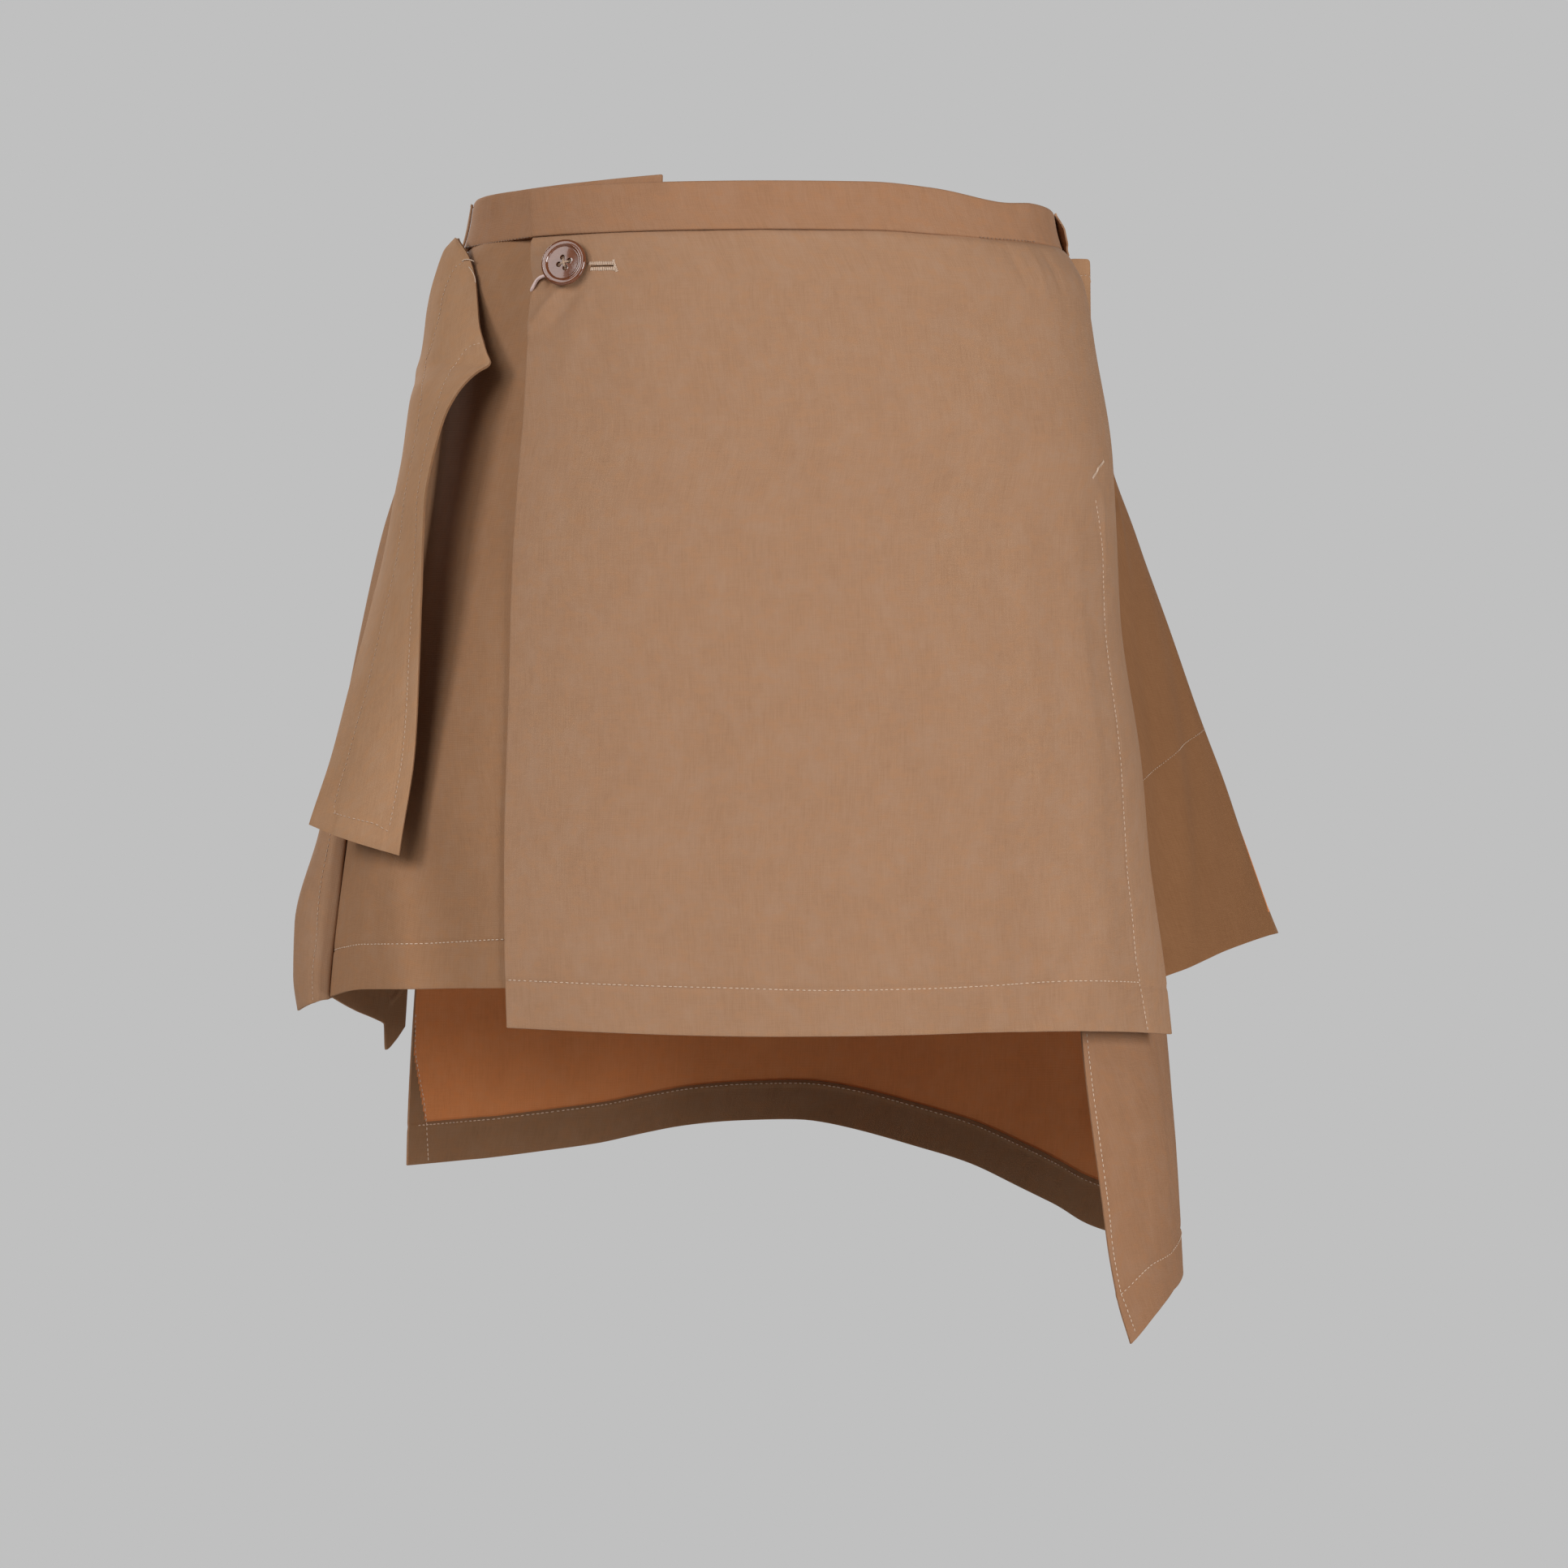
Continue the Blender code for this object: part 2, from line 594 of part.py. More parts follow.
def make_button(home, cutters, material):
    profile = bpy.data.meshes.new("button")
    points = [(r * MM, 0, h * MM) for r, h in zip(BUTTON_PROFILE["radius"], BUTTON_PROFILE["height"])]
    profile.from_pydata(points, [(i, i + 1) for i in range(len(points) - 1)], [])
    button = add("button", profile, home, material)
    turned = button.modifiers.new("turned", "SCREW")
    turned.steps = BUTTON_STEPS
    turned.render_steps = BUTTON_STEPS
    turned.use_merge_vertices = True
    turned.merge_threshold = BUTTON_MERGE
    for hole in range(BUTTON_HOLES):
        turn = radians(BUTTON_TURN) + tau * hole / BUTTON_HOLES
        bpy.ops.mesh.primitive_cylinder_add(
            vertices=BUTTON_HOLE_SIDES,
            radius=BUTTON_HOLE_RADIUS * MM,
            depth=3 * BUTTON_HEIGHT * MM,
            location=(BUTTON_HOLE_SPACING * cos(turn) * MM, BUTTON_HOLE_SPACING * sin(turn) * MM, 0),
        )
        cutter = bpy.context.object
        cutter.name = f"button_hole_{hole + 1}"
        for holder in list(cutter.users_collection):
            holder.objects.unlink(cutter)
        cutters.objects.link(cutter)
        cutter.hide_render = True
        cutter.display_type = "WIRE"
        cutter.parent = button
        cut = button.modifiers.new(f"hole_{hole + 1}", "BOOLEAN")
        cut.operation = "DIFFERENCE"
        cut.object = cutter
    seat, facing = outer_panel_point(BUTTON_ANGLE, BUTTON_DROP, BUTTON_SEAT)
    button.location = seat * MM
    facing.rotate(Euler((0, 0, radians(BUTTON_TILT))))
    button.rotation_euler = facing.to_track_quat("Z", "Y").to_euler()
    return button


# Button loop: a thin round cord from under the button to the outer panel's left edge, and round that edge.
BUTTON_LOOP = table(
    "point angle drop off",
    (0, -41.6, 29.2, 1.1),
    (1, -42.6, 29.4, 1.0),
    (2, -43.5, 30.2, 1.0),
    (3, -44.2, 31.6, 1.0),
    (4, -44.8, 33.4, 1.0),
    (5, -45.6, 35.0, 0.6),
    (6, -46.1, 35.8, -0.6),
)
BUTTON_LOOP_POINTS = 10
BUTTON_LOOP_ROUNDING = 2


def make_button_loop(home, material):
    curve = bpy.data.curves.new("button_loop", "CURVE")
    curve.dimensions = "3D"
    curve.bevel_depth = LOOP_CORD_RADIUS * MM
    curve.bevel_resolution = BUTTON_LOOP_ROUNDING
    curve.use_fill_caps = True
    line = curve.splines.new("POLY")
    line.points.add(BUTTON_LOOP_POINTS - 1)
    for point, at in zip(line.points, np.linspace(0, len(BUTTON_LOOP["point"]) - 1, BUTTON_LOOP_POINTS)):
        angle, drop, off = (read(BUTTON_LOOP, column, at) for column in ("angle", "drop", "off"))
        point.co = (*(outer_panel_point(angle, drop, off)[0] * MM), 1)
    return add("button_loop", curve, home, material)


def main():
    for old in list(bpy.data.objects):
        bpy.data.objects.remove(old)
    parts, cutters = collection("wrap_kilt"), collection("cutters")
    wool = finish("tan wool", WOOL_TAN, 0.85)
    make_waistband(parts, wool)
    make_front_overlap(parts, wool)
    make_front_underlap(parts, wool)
    make_back_panel(parts, wool)
    make_left_wing(parts, wool)
    make_right_wing(parts, wool)
    make_left_flap(parts, wool)
    for name, angle, rows in BELT_LOOPS:
        make_belt_loop(name, angle, rows, parts, wool)
    make_button(parts, cutters, finish("brown button", BUTTON_BROWN, 0.25))
    make_button_loop(parts, finish("pink cord", CORD_PINK, 0.5))


main()
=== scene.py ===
import bmesh
import bpy
import numpy as np
from math import cos, pi, radians, sin
from mathutils import Euler, Matrix, Vector


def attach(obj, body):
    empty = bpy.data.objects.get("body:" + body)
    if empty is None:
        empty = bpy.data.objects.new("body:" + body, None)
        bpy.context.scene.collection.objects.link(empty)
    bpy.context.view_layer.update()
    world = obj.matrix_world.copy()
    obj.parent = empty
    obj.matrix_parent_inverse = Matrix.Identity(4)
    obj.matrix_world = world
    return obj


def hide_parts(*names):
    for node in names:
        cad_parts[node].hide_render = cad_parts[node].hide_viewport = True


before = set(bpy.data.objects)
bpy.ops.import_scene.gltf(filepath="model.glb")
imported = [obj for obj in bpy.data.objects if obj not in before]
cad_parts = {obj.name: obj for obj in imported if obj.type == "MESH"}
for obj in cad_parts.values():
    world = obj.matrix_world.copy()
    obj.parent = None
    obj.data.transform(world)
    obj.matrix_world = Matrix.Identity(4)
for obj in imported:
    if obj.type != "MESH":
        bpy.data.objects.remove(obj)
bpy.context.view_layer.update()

# The camera stands straight in front of the skirt at the height of its middle, 2.6 m away, with a long lens.
bpy.ops.object.camera_add(location=(0.00825, -2.6, -0.2572), rotation=(pi / 2, 0, 0))
camera = bpy.context.object
camera.data.sensor_width = 36
camera.data.lens = 129.19
bpy.context.scene.camera = camera

# The room: a pale round floor below the skirt and plain grey air, lit by soft boxes in front of the skirt, at
# its sides and behind it.
bpy.ops.mesh.primitive_circle_add(vertices=96, radius=1.15, fill_type="NGON", location=(0, 0, -0.8))
floor = bpy.context.object
floor.name = "studio_floor"
floor_paint = bpy.data.materials.new("pale floor")
floor_paint.use_nodes = True
floor_shader = floor_paint.node_tree.nodes["Principled BSDF"]
floor_shader.inputs["Base Color"].default_value = (0.6, 0.6, 0.6, 1)
floor_shader.inputs["Roughness"].default_value = 0.6
floor.data.materials.append(floor_paint)

air = bpy.data.worlds.new("grey air")
air.use_nodes = True
bpy.context.scene.world = air
sky = air.node_tree.nodes["Background"]
seen = air.node_tree.nodes.new("ShaderNodeLightPath")
strength = air.node_tree.nodes.new("ShaderNodeMapRange")
strength.inputs["To Min"].default_value = 0.03
strength.inputs["To Max"].default_value = 0.527
air.node_tree.links.new(seen.outputs["Is Camera Ray"], strength.inputs["Value"])
air.node_tree.links.new(strength.outputs["Result"], sky.inputs["Strength"])
sky.inputs["Color"].default_value = (1, 1, 1, 1)


SKIRT_MIDDLE = Vector((0, 0, -0.25))
LAMP_DISTANCE = 2.8


def soft_box(name, side_angle, height_angle, width, height, power):
    """A soft box that looks at the skirt; angles in degrees from the front (left below zero) and up."""
    aside, up = radians(side_angle), radians(height_angle)
    place = SKIRT_MIDDLE + LAMP_DISTANCE * Vector((sin(aside) * cos(up), -cos(aside) * cos(up), sin(up)))
    turn = (SKIRT_MIDDLE - place).to_track_quat("-Z", "Y").to_euler()
    bpy.ops.object.light_add(type="AREA", location=place, rotation=turn)
    lamp = bpy.context.object
    lamp.name = name
    lamp.data.shape = "RECTANGLE"
    lamp.data.size = width
    lamp.data.size_y = height
    lamp.data.energy = power
    lamp.visible_camera = False


soft_box("soft_box_left", -31, 27, 1.3, 1.8, 25)
soft_box("soft_box_far_left", -62, 24, 1.0, 1.1, 27.5)
soft_box("soft_box_right", 42, 10, 1.2, 1.2, 49)
soft_box("soft_box_low_right", 52, -21, 1.1, 1.1, 14)
soft_box("soft_box_back_left", -156, 28, 1.3, 1.3, 40)
soft_box("soft_box_back_right", 165, 28, 1.3, 1.3, 20)
bpy.context.scene.view_settings.view_transform = "Standard"

# The waistband: one strip of the same wool, folded double and pressed, run once round the waist and lapped
# over itself at the front left. Its lower edge is sewn on in the ditch. All cloth below hangs from the same
# round form.
MM = 0.001


def table(columns, *rows):
    """A short table with named columns and a row for each section, edge point or fold."""
    return dict(zip(columns.split(), np.array(rows, dtype=float).T))


def smooth_read(places, values, i, at):
    """A smooth curve through values at places that never overshoots them, read at `at` in step i."""
    slopes = np.diff(values, axis=0) / np.diff(places, axis=0)
    before, after = slopes[:-1], slopes[1:]
    both = np.where(before * after > 0, before + after, 1.0)
    middle = np.where(before * after > 0, 2 * before * after / both, 0.0)
    tangents = np.concatenate([slopes[:1], middle, slopes[-1:]])

    def pick(rows, k):
        return rows[k] if rows.ndim == 1 else np.take_along_axis(rows, k[None], 0)[0]

    start, end = pick(places, i), pick(places, i + 1)
    step = end - start
    t = (at - start) / step
    return (
        (2 * t**3 - 3 * t**2 + 1) * pick(values, i)
        + (t**3 - 2 * t**2 + t) * step * pick(tangents, i)
        + (3 * t**2 - 2 * t**3) * pick(values, i + 1)
        + (t**3 - t**2) * step * pick(tangents, i + 1)
    )


def read(rows, column, at):
    """A table's column at places in its first column."""
    places = next(iter(rows.values()))
    at = np.clip(np.asarray(at, float), places[0], places[-1])
    i = np.clip(np.searchsorted(places, at) - 1, 0, len(places) - 2)
    return smooth_read(places, rows[column], i, at)


# Half widths to the left and right and half depths to the front and back, in mm, at drops below the band's
# middle.
RINGS = table(
    "drop left right front back flatness",
    (-11, 134.5, 131.0, 99.5, 99.5, 0.60),
    (0, 135.5, 132.3, 100.0, 100.0, 0.60),
    (11, 138.0, 135.0, 101.0, 101.5, 0.60),
    (18, 140.5, 140.0, 102.0, 103.0, 0.60),
    (30, 144.0, 146.0, 104.0, 106.0, 0.60),
    (60, 150.0, 151.0, 108.0, 112.0, 0.60),
    (110, 159.5, 158.5, 113.0, 120.0, 0.60),
    (180, 174.0, 160.3, 118.0, 127.0, 0.60),
    (250, 188.5, 170.5, 122.0, 132.0, 0.60),
    (285, 195.0, 175.5, 123.0, 133.5, 0.60),
    (350, 204.0, 187.0, 125.0, 136.5, 0.60),
    (430, 209.0, 194.0, 127.0, 139.0, 0.40),
    (515, 210.0, 198.0, 128.0, 141.0, 0.38),
)


def ring(angle, drop, out=0.0):
    """The place in plan at an angle round the skirt from the front middle, `out` mm outside its round form."""
    turn = np.radians(angle)
    half_width = np.where(np.sin(turn) > 0, read(RINGS, "right", drop), read(RINGS, "left", drop)) + out
    half_depth = np.where(np.cos(turn) > 0, read(RINGS, "front", drop), read(RINGS, "back", drop)) + out
    right_front = (np.sin(turn) > 0) & (np.cos(turn) > 0)
    depth_share = np.where(right_front, np.abs(np.cos(turn)) ** read(RINGS, "flatness", drop), np.cos(turn))
    return np.stack([half_width * np.sin(turn), -half_depth * depth_share])


def folds(rows, angle, down):
    """How far the broad folds move the cloth out at an angle and a share of the way down."""
    moved = 0.0
    for top, hem, width, at_top, at_middle, at_hem in zip(*rows.values()):
        centre = top + (hem - top) * down
        moved = moved + np.interp(down, (0, 0.5, 1), (at_top, at_middle, at_hem)) * np.exp(
            -(((angle - centre) / width) ** 2)
        )
    return moved


def stations(*spans):
    """Grid stations from (start, end, number of steps) spans that follow each other."""
    places = [spans[0][0]]
    for start, end, steps in spans:
        places += list(np.linspace(start, end, steps + 1)[1:])
    return np.array(places)


def creases(rows, across, down, width, height):
    """Troughs (depth below zero) and ridges, listed one by one: places as shares, sizes in mm, lean from
    upright.
    """
    moved = 0.0
    for at_across, at_down, long, wide, lean, depth in zip(*rows.values()):
        x, z = (across - at_across) * width, (down - at_down) * height
        turn = radians(lean)
        along = x * sin(turn) + z * cos(turn)
        aside = x * cos(turn) - z * sin(turn)
        moved = moved + depth * np.exp(-((along / long) ** 2) - (aside / wide) ** 2)
    return moved


CREASE_COLUMNS = "across down long wide lean depth"


def softness(across, down, width, height, size, start):
    """The slight unevenness of hanging cloth: a few long slow waves, `size` mm high, that don't repeat."""
    x, z = across * width, down * height
    return size * (
        0.5 * np.sin(x / 17.0 + 0.006 * z + start) * np.cos(z / 90.0 + 1.7 * start)
        + 0.3 * np.sin(x / 9.1 - z / 61.0 + 2.3 * start)
        + 0.2 * np.sin(x / 31.0 + z / 23.0 + 0.9 * start)
    )


def worked(rows, across, down, width, height, size, start, sewn=0.0):
    """A piece's relief in mm: its sewn lines, its creases and the slight unevenness of hanging cloth."""
    creased = sewn + creases(rows, across, down, width, height)
    return creased + softness(across, down, width, height, size, start)


class Form:
    """A cloth piece's outer face: place(across, down) in mm and relief(across, down), how far it's raised."""

    def __init__(self, place, relief=None):
        self.place = place
        self.relief = relief

    def flat_point(self, across, down):
        plan, drop = self.place(across, down)
        return np.stack([plan[0], plan[1], -drop], axis=-1)

    def facing(self, across, down):
        step = 0.002
        sideways = self.flat_point(across + step, down) - self.flat_point(across - step, down)
        upwards = self.flat_point(across, down - step) - self.flat_point(across, down + step)
        normal = np.cross(sideways, upwards)
        return normal / np.maximum(np.linalg.norm(normal, axis=-1, keepdims=True), 1e-9)

    def point(self, across, down, off=0.0):
        across, down = np.broadcast_arrays(np.asarray(across, float), np.asarray(down, float))
        raised = np.asarray(off, float)
        if self.relief is not None:
            raised = raised + self.relief(across, down)
        return self.flat_point(across, down) + self.facing(across, down) * np.asarray(raised)[..., None]


# Where the cloth is not turned double, its wall has this share of the full thickness.
SINGLE_LAYER_SHARE = 0.55


def cloth(name, form, across, down, wall, hem=None, lining=None, rim=0.35, outer=None, rim_finish=0):
    """A cloth shell: a grid moved onto its form, given its wall inwards and rounded rims. `hem(across, down)`
    is 1 where the cloth is turned double and 0 where it is single."""
    bpy.ops.object.select_all(action="DESELECT")
    columns, rows = len(across), len(down)
    bpy.ops.mesh.primitive_grid_add(x_subdivisions=columns - 1, y_subdivisions=rows - 1, size=1, calc_uvs=True)
    piece = bpy.context.object
    piece.name = name
    mesh = piece.data
    flat = np.empty(len(mesh.vertices) * 3)
    mesh.vertices.foreach_get("co", flat)
    flat = flat.reshape(-1, 3)
    column = np.rint((flat[:, 0] + 0.5) * (columns - 1)).astype(int)
    row = np.rint((0.5 - flat[:, 1]) * (rows - 1)).astype(int)
    a, d = np.meshgrid(across, down, indexing="ij")
    points = form.point(a, d)
    mesh.vertices.foreach_set("co", (points[column, row] * MM).ravel())
    # The UV map is the cloth laid flat, in metres, with the threads upright at the piece's middle.
    widths = np.linalg.norm(np.diff(points, axis=0, prepend=points[:1]), axis=-1).cumsum(axis=0)
    widths -= widths[columns // 2]
    lengths = np.linalg.norm(np.diff(points, axis=1, prepend=points[:, :1]), axis=-1).cumsum(axis=1)
    corner = np.empty(len(mesh.loops), dtype=int)
    mesh.loops.foreach_get("vertex_index", corner)
    u, v = widths[column, row][corner], -lengths[column, row][corner]
    mesh.uv_layers.active.data.foreach_set("uv", (np.stack([u, v], axis=-1) * MM).ravel())
    for finish in (outer or wool, lining, wool_hem_painted_shade if lining and hem else None):
        if finish is not None:
            mesh.materials.append(finish)
    solidify = piece.modifiers.new("wall", "SOLIDIFY")
    solidify.thickness = wall * MM
    solidify.offset = -1
    if hem is not None:
        layers = piece.vertex_groups.new(name="layers")
        doubled = np.broadcast_to(hem(a, d), a.shape)[column, row]
        for value in np.unique(np.round(doubled, 2)):
            layers.add(np.nonzero(np.round(doubled, 2) == value)[0].tolist(), float(value), "REPLACE")
        solidify.vertex_group = "layers"
        solidify.thickness_vertex_group = SINGLE_LAYER_SHARE
    if lining is not None:
        solidify.material_offset = 1
        solidify.material_offset_rim = rim_finish
    bevel = piece.modifiers.new("rounded rims", "BEVEL")
    bevel.width = rim * MM
    bevel.segments = 2
    bevel.angle_limit = radians(62)
    for modifier in list(piece.modifiers):
        bpy.ops.object.modifier_apply(modifier=modifier.name)
    bpy.ops.object.shade_smooth()
    # Lining faces where the cloth is turned double take the third finish, the hem wool darkened as painted
    # shade.
    if lining is not None and hem is not None:
        doubled = np.zeros(len(mesh.vertices))
        for vert in mesh.vertices:
            if vert.groups and vert.groups[0].weight > 0.5:
                doubled[vert.index] = 1
        for face in mesh.polygons:
            if face.material_index == 1 and doubled[list(face.vertices)].min() > 0:
                face.material_index = 2
    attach(piece, "root")
    return piece


def join(node, **sources):
    """Sets a node's inputs, or links them where the source is another node's output; _6 is the input at 6."""
    for key, source in sources.items():
        slot = node.inputs[int(key[1:])] if key[1:].isdigit() else node.inputs[key.replace("_", " ")]
        if hasattr(source, "is_output"):
            node.id_data.links.new(source, slot)
        else:
            slot.default_value = source


def new_finish(name):
    """A new material, a maker of its nodes and its main shader."""
    material = bpy.data.materials.new(name)
    material.use_nodes = True
    nodes = material.node_tree.nodes

    def add(kind, settings=(), **sources):
        made = nodes.new("ShaderNode" + kind)
        for key, value in settings:
            setattr(made, key, value)
        join(made, **sources)
        return made.outputs

    return material, add, nodes["Principled BSDF"]


def tinted(add, share, first, second):
    """A mix of two colours, each given as a colour or as another node's output."""
    first, second = (tint if hasattr(tint, "is_output") else (*tint, 1) for tint in (first, second))
    return add("Mix", [("data_type", "RGBA")], Factor=share, _6=first, _7=second)[2]


def woollen(name, warm, dark, sheen, painted_shade=None):
    """Plain-weave worsted wool: uneven warp and weft yarns, faint slubs, clouds of cooler and warmer tint, a
    low sheen. The last argument is a second, darker pair of tones, painted as shade on a piece's front half."""
    material, add, shader = new_finish(name)
    flat = add("UVMap")["UV"]

    def noise(across, along, detail):
        sized = add("Mapping", Vector=flat, Scale=(across, along, 1.0))[0]
        flat_noise = [("noise_dimensions", "2D")]
        return add("TexNoise", flat_noise, Vector=sized, Scale=1.0, Detail=detail, Roughness=0.55)["Fac"]

    def threads(direction, threads_per_metre):
        bands = [("wave_type", "BANDS"), ("bands_direction", direction)]
        return add(
            "TexWave", bands, Vector=flat, Scale=threads_per_metre / 20 * pi, Distortion=1.5, Detail=1.0
        )["Fac"]

    def math(operation, *values):
        return add("Math", [("operation", operation)], **{f"_{i}": value for i, value in enumerate(values)})[0]

    def ramp(value, low, high, top=1.0):
        return add("MapRange", Value=value, From_Min=low, From_Max=high, To_Max=top)[0]

    warp, weft = noise(1700, 70, 2.0), noise(90, 1700, 2.0)
    mottle, slub = noise(38, 30, 3.0), noise(520, 160, 2.0)
    tone = 0.0
    for grain, share in ((warp, 0.9), (weft, 0.45), (mottle, 0.5), (slub, 0.4)):
        tone = math("MULTIPLY_ADD", grain, share, tone)
    light = ramp(tone, 0.62, 1.63)
    colour = tinted(add, light, dark, warm)
    if painted_shade is not None:
        # Painted shade: darker tones come in softly 45 to 110 mm below the piece's top, on its front half only.
        sides = add("SeparateXYZ", Vector=flat)
        both = math("MULTIPLY", ramp(sides["Y"], -0.045, -0.11), ramp(sides["X"], 0.006, 0.0))
        colour = tinted(add, both, colour, tinted(add, light, *painted_shade))
    else:
        cooler = tuple(share * tint for share, tint in zip((0.95, 1.0, 1.08), warm))
        warmer = tuple(share * tint for share, tint in zip((0.97, 0.9, 0.82), warm))
        colour = tinted(add, ramp(noise(95, 70, 3.0), 0.45, 0.75, 0.5), colour, cooler)
        colour = tinted(add, ramp(noise(150, 210, 2.0), 0.5, 0.7, 0.6), colour, warmer)
    weave = math("MULTIPLY", threads("X", 2600), threads("Y", 2400))
    bump = add("Bump", Height=math("MULTIPLY_ADD", tone, 0.5, weave), Distance=0.00012, Strength=0.35)["Normal"]
    join(
        shader, Base_Color=colour, Normal=bump, Roughness=0.88, Specular_IOR_Level=0.08,
        Sheen_Weight=sheen, Sheen_Roughness=0.45, Sheen_Tint=(1.0, 0.86, 0.72, 1),
    )
    return material


wool = woollen("tan worsted wool", (0.405, 0.235, 0.14), (0.33, 0.181, 0.102), 0.05)
# Painted light and shade: the drape's wool is a lighter copy of the main wool, with darker tones painted as
# shade on its front half.
wool_drape_painted_light_and_shade = woollen(
    "tan wool, drape, painted light and shade", (0.455, 0.257, 0.142), (0.375, 0.2, 0.105), 0.04,
    painted_shade=((0.24, 0.108, 0.046), (0.295, 0.141, 0.064)),
)
# Painted shade: a darker copy of the main wool for the inner front panel's outer face, beside and under the
# tab.
wool_painted_shade = woollen("tan wool, inner front, painted shade", (0.375, 0.205, 0.112), (0.305, 0.158, 0.082), 0.02)
wool_band = woollen("tan wool, band", (0.39, 0.209, 0.118), (0.316, 0.161, 0.086), 0.07)
wool_back = woollen("tan wool, back", (0.368, 0.197, 0.11), (0.3, 0.152, 0.08), 0.06)
# Painted light: a lighter copy of the main wool for the tab's outer face and the inner front panel's turned
# strip.
wool_tab_painted_light = woollen("tan wool, tab, painted light", (0.455, 0.262, 0.148), (0.37, 0.201, 0.108), 0.06)
# Painted light: the inner face of single cloth is a bright orange that stands in for light shining through the
# wool from behind.
wool_inside_painted_through_light = woollen("tan wool, single layer from inside, painted through-light", (0.66, 0.255, 0.095), (0.545, 0.197, 0.07), 0.04)
# Painted shade: a darker copy of the wool for turned hems seen from inside and for the tab's inner face and
# rims.
wool_hem_painted_shade = woollen("tan wool, turned hem from inside, painted shade", (0.27, 0.145, 0.076), (0.215, 0.112, 0.056), 0.05)

BAND = table(
    "angle out top bottom",
    (-48.8, 2.5, -11.0, 11.0),
    (-20, 2.5, -11.0, 11.0),
    (20, 1.9, -11.0, 11.0),
    (34, 1.5, -9.0, 12.2),
    (54, 0.7, -4.2, 13.3),
    (66, 0.5, -5.2, 13.0),
    (86, 0.3, -4.4, 13.0),
    (110, 0.0, -8.0, 12.0),
    (140, 0.0, -11.0, 11.0),
    (300, 0.0, -11.0, 11.0),
    (322, 0.0, -12.6, 9.4),
    (340, 0.0, -14.6, 7.4),
)


def place_band(angle, down):
    # The outer end's edge is cut on a slant.
    angle = angle - 2.8 * (1 - down) * np.interp(angle, (-48.8, -38), (1, 0))
    top = read(BAND, "top", angle)
    drop = top + (read(BAND, "bottom", angle) - top) * down
    return ring(angle, drop, read(BAND, "out", angle)), drop


MM_PER_DEGREE, BAND_HEIGHT = 2.1, 22
BAND_CREASES = table(
    CREASE_COLUMNS,
    (58, 0.15, 6, 3.0, 20, -0.5),
    (63, 0.10, 7, 3.5, -15, 0.5),
    (70, 0.85, 6, 2.5, 30, -0.4),
    (61, 0.95, 3, 1.6, 0, -0.5),
    (66, 0.97, 3, 1.8, 10, -0.5),
    (74, 0.93, 4, 2.0, -12, -0.5),
    (12, 0.60, 12, 9.0, 50, -0.25),
    (-20, 0.30, 11, 8.0, -40, 0.25),
    (150, 0.40, 10, 6.0, 25, -0.35),
    (196, 0.55, 12, 8.0, -30, 0.35),
    (247, 0.70, 9, 5.0, 15, -0.35),
)


def band_relief(angle, down):
    rounded = 0.35 * (1 - (2 * down - 1) ** 6)
    # The inner end, where it shows beside the button, leans out at its top.
    rounded = rounded + 1.4 * (1 - 2 * down) * np.interp(angle, (276, 290, 308, 322), (0, 1, 1, 0))
    # Below the left loop the band rolls out a little.
    rounded = rounded + 1.3 * down * np.exp(-(((angle - 270) / 9) ** 2))
    return worked(BAND_CREASES, angle, down, MM_PER_DEGREE, BAND_HEIGHT, 0.16, 0.4, rounded)


waistband_form = Form(place_band, band_relief)
waistband = cloth(
    "waistband_cloth", waistband_form, np.linspace(-48.8, 340, 300), np.linspace(0, 1, 15), 1.8, rim=0.7,
    outer=wool_band,
)
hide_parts("waistband")


def panel_top(angle):
    """The drop at which a panel starts below the band."""
    return read(BAND, "bottom", angle) + 0.6


def seam_tuck(drop, top, depth):
    """How far a panel's top edge goes in behind the band, where it is sewn on."""
    return -depth * np.clip((top + 1.5 - drop) / 2.5, 0, 1) ** 1.5


def bead_mesh():
    """One stitch: a small rounded bead of thread 1 unit long, wide and high."""
    bpy.ops.object.select_all(action="DESELECT")
    bpy.ops.mesh.primitive_uv_sphere_add(segments=7, ring_count=5, radius=0.5, rotation=(0, pi / 2, 0))
    bead = bpy.context.object
    bpy.ops.object.transform_apply(location=False, rotation=True, scale=False)
    points = np.array([v.co for v in bead.data.vertices])
    faces = [tuple(p.vertices) for p in bead.data.polygons]
    bpy.data.objects.remove(bead)
    return points, faces


BEAD_POINTS, BEAD_FACES = bead_mesh()


def along_form(form, across, down, off=0.0, fine=1.0):
    """Dense points and facings on a form along a line through the given (across, down) places."""
    coarse = form.point(across, down)
    lengths = np.concatenate([[0], np.linalg.norm(np.diff(coarse, axis=0), axis=1).cumsum()])
    at = np.linspace(0, lengths[-1], max(int(lengths[-1] / fine), 2))
    a = smooth_share(lengths, across, at)
    d = smooth_share(lengths, down, at)
    return form.point(a, d, off), form.facing(a, d)


def smooth_share(lengths, values, at):
    values = np.asarray(values, float)
    if len(values) < 3:
        return np.interp(at, lengths, values)
    i = np.clip(np.searchsorted(lengths, at) - 1, 0, len(lengths) - 2)
    return smooth_read(lengths, values, i, at)


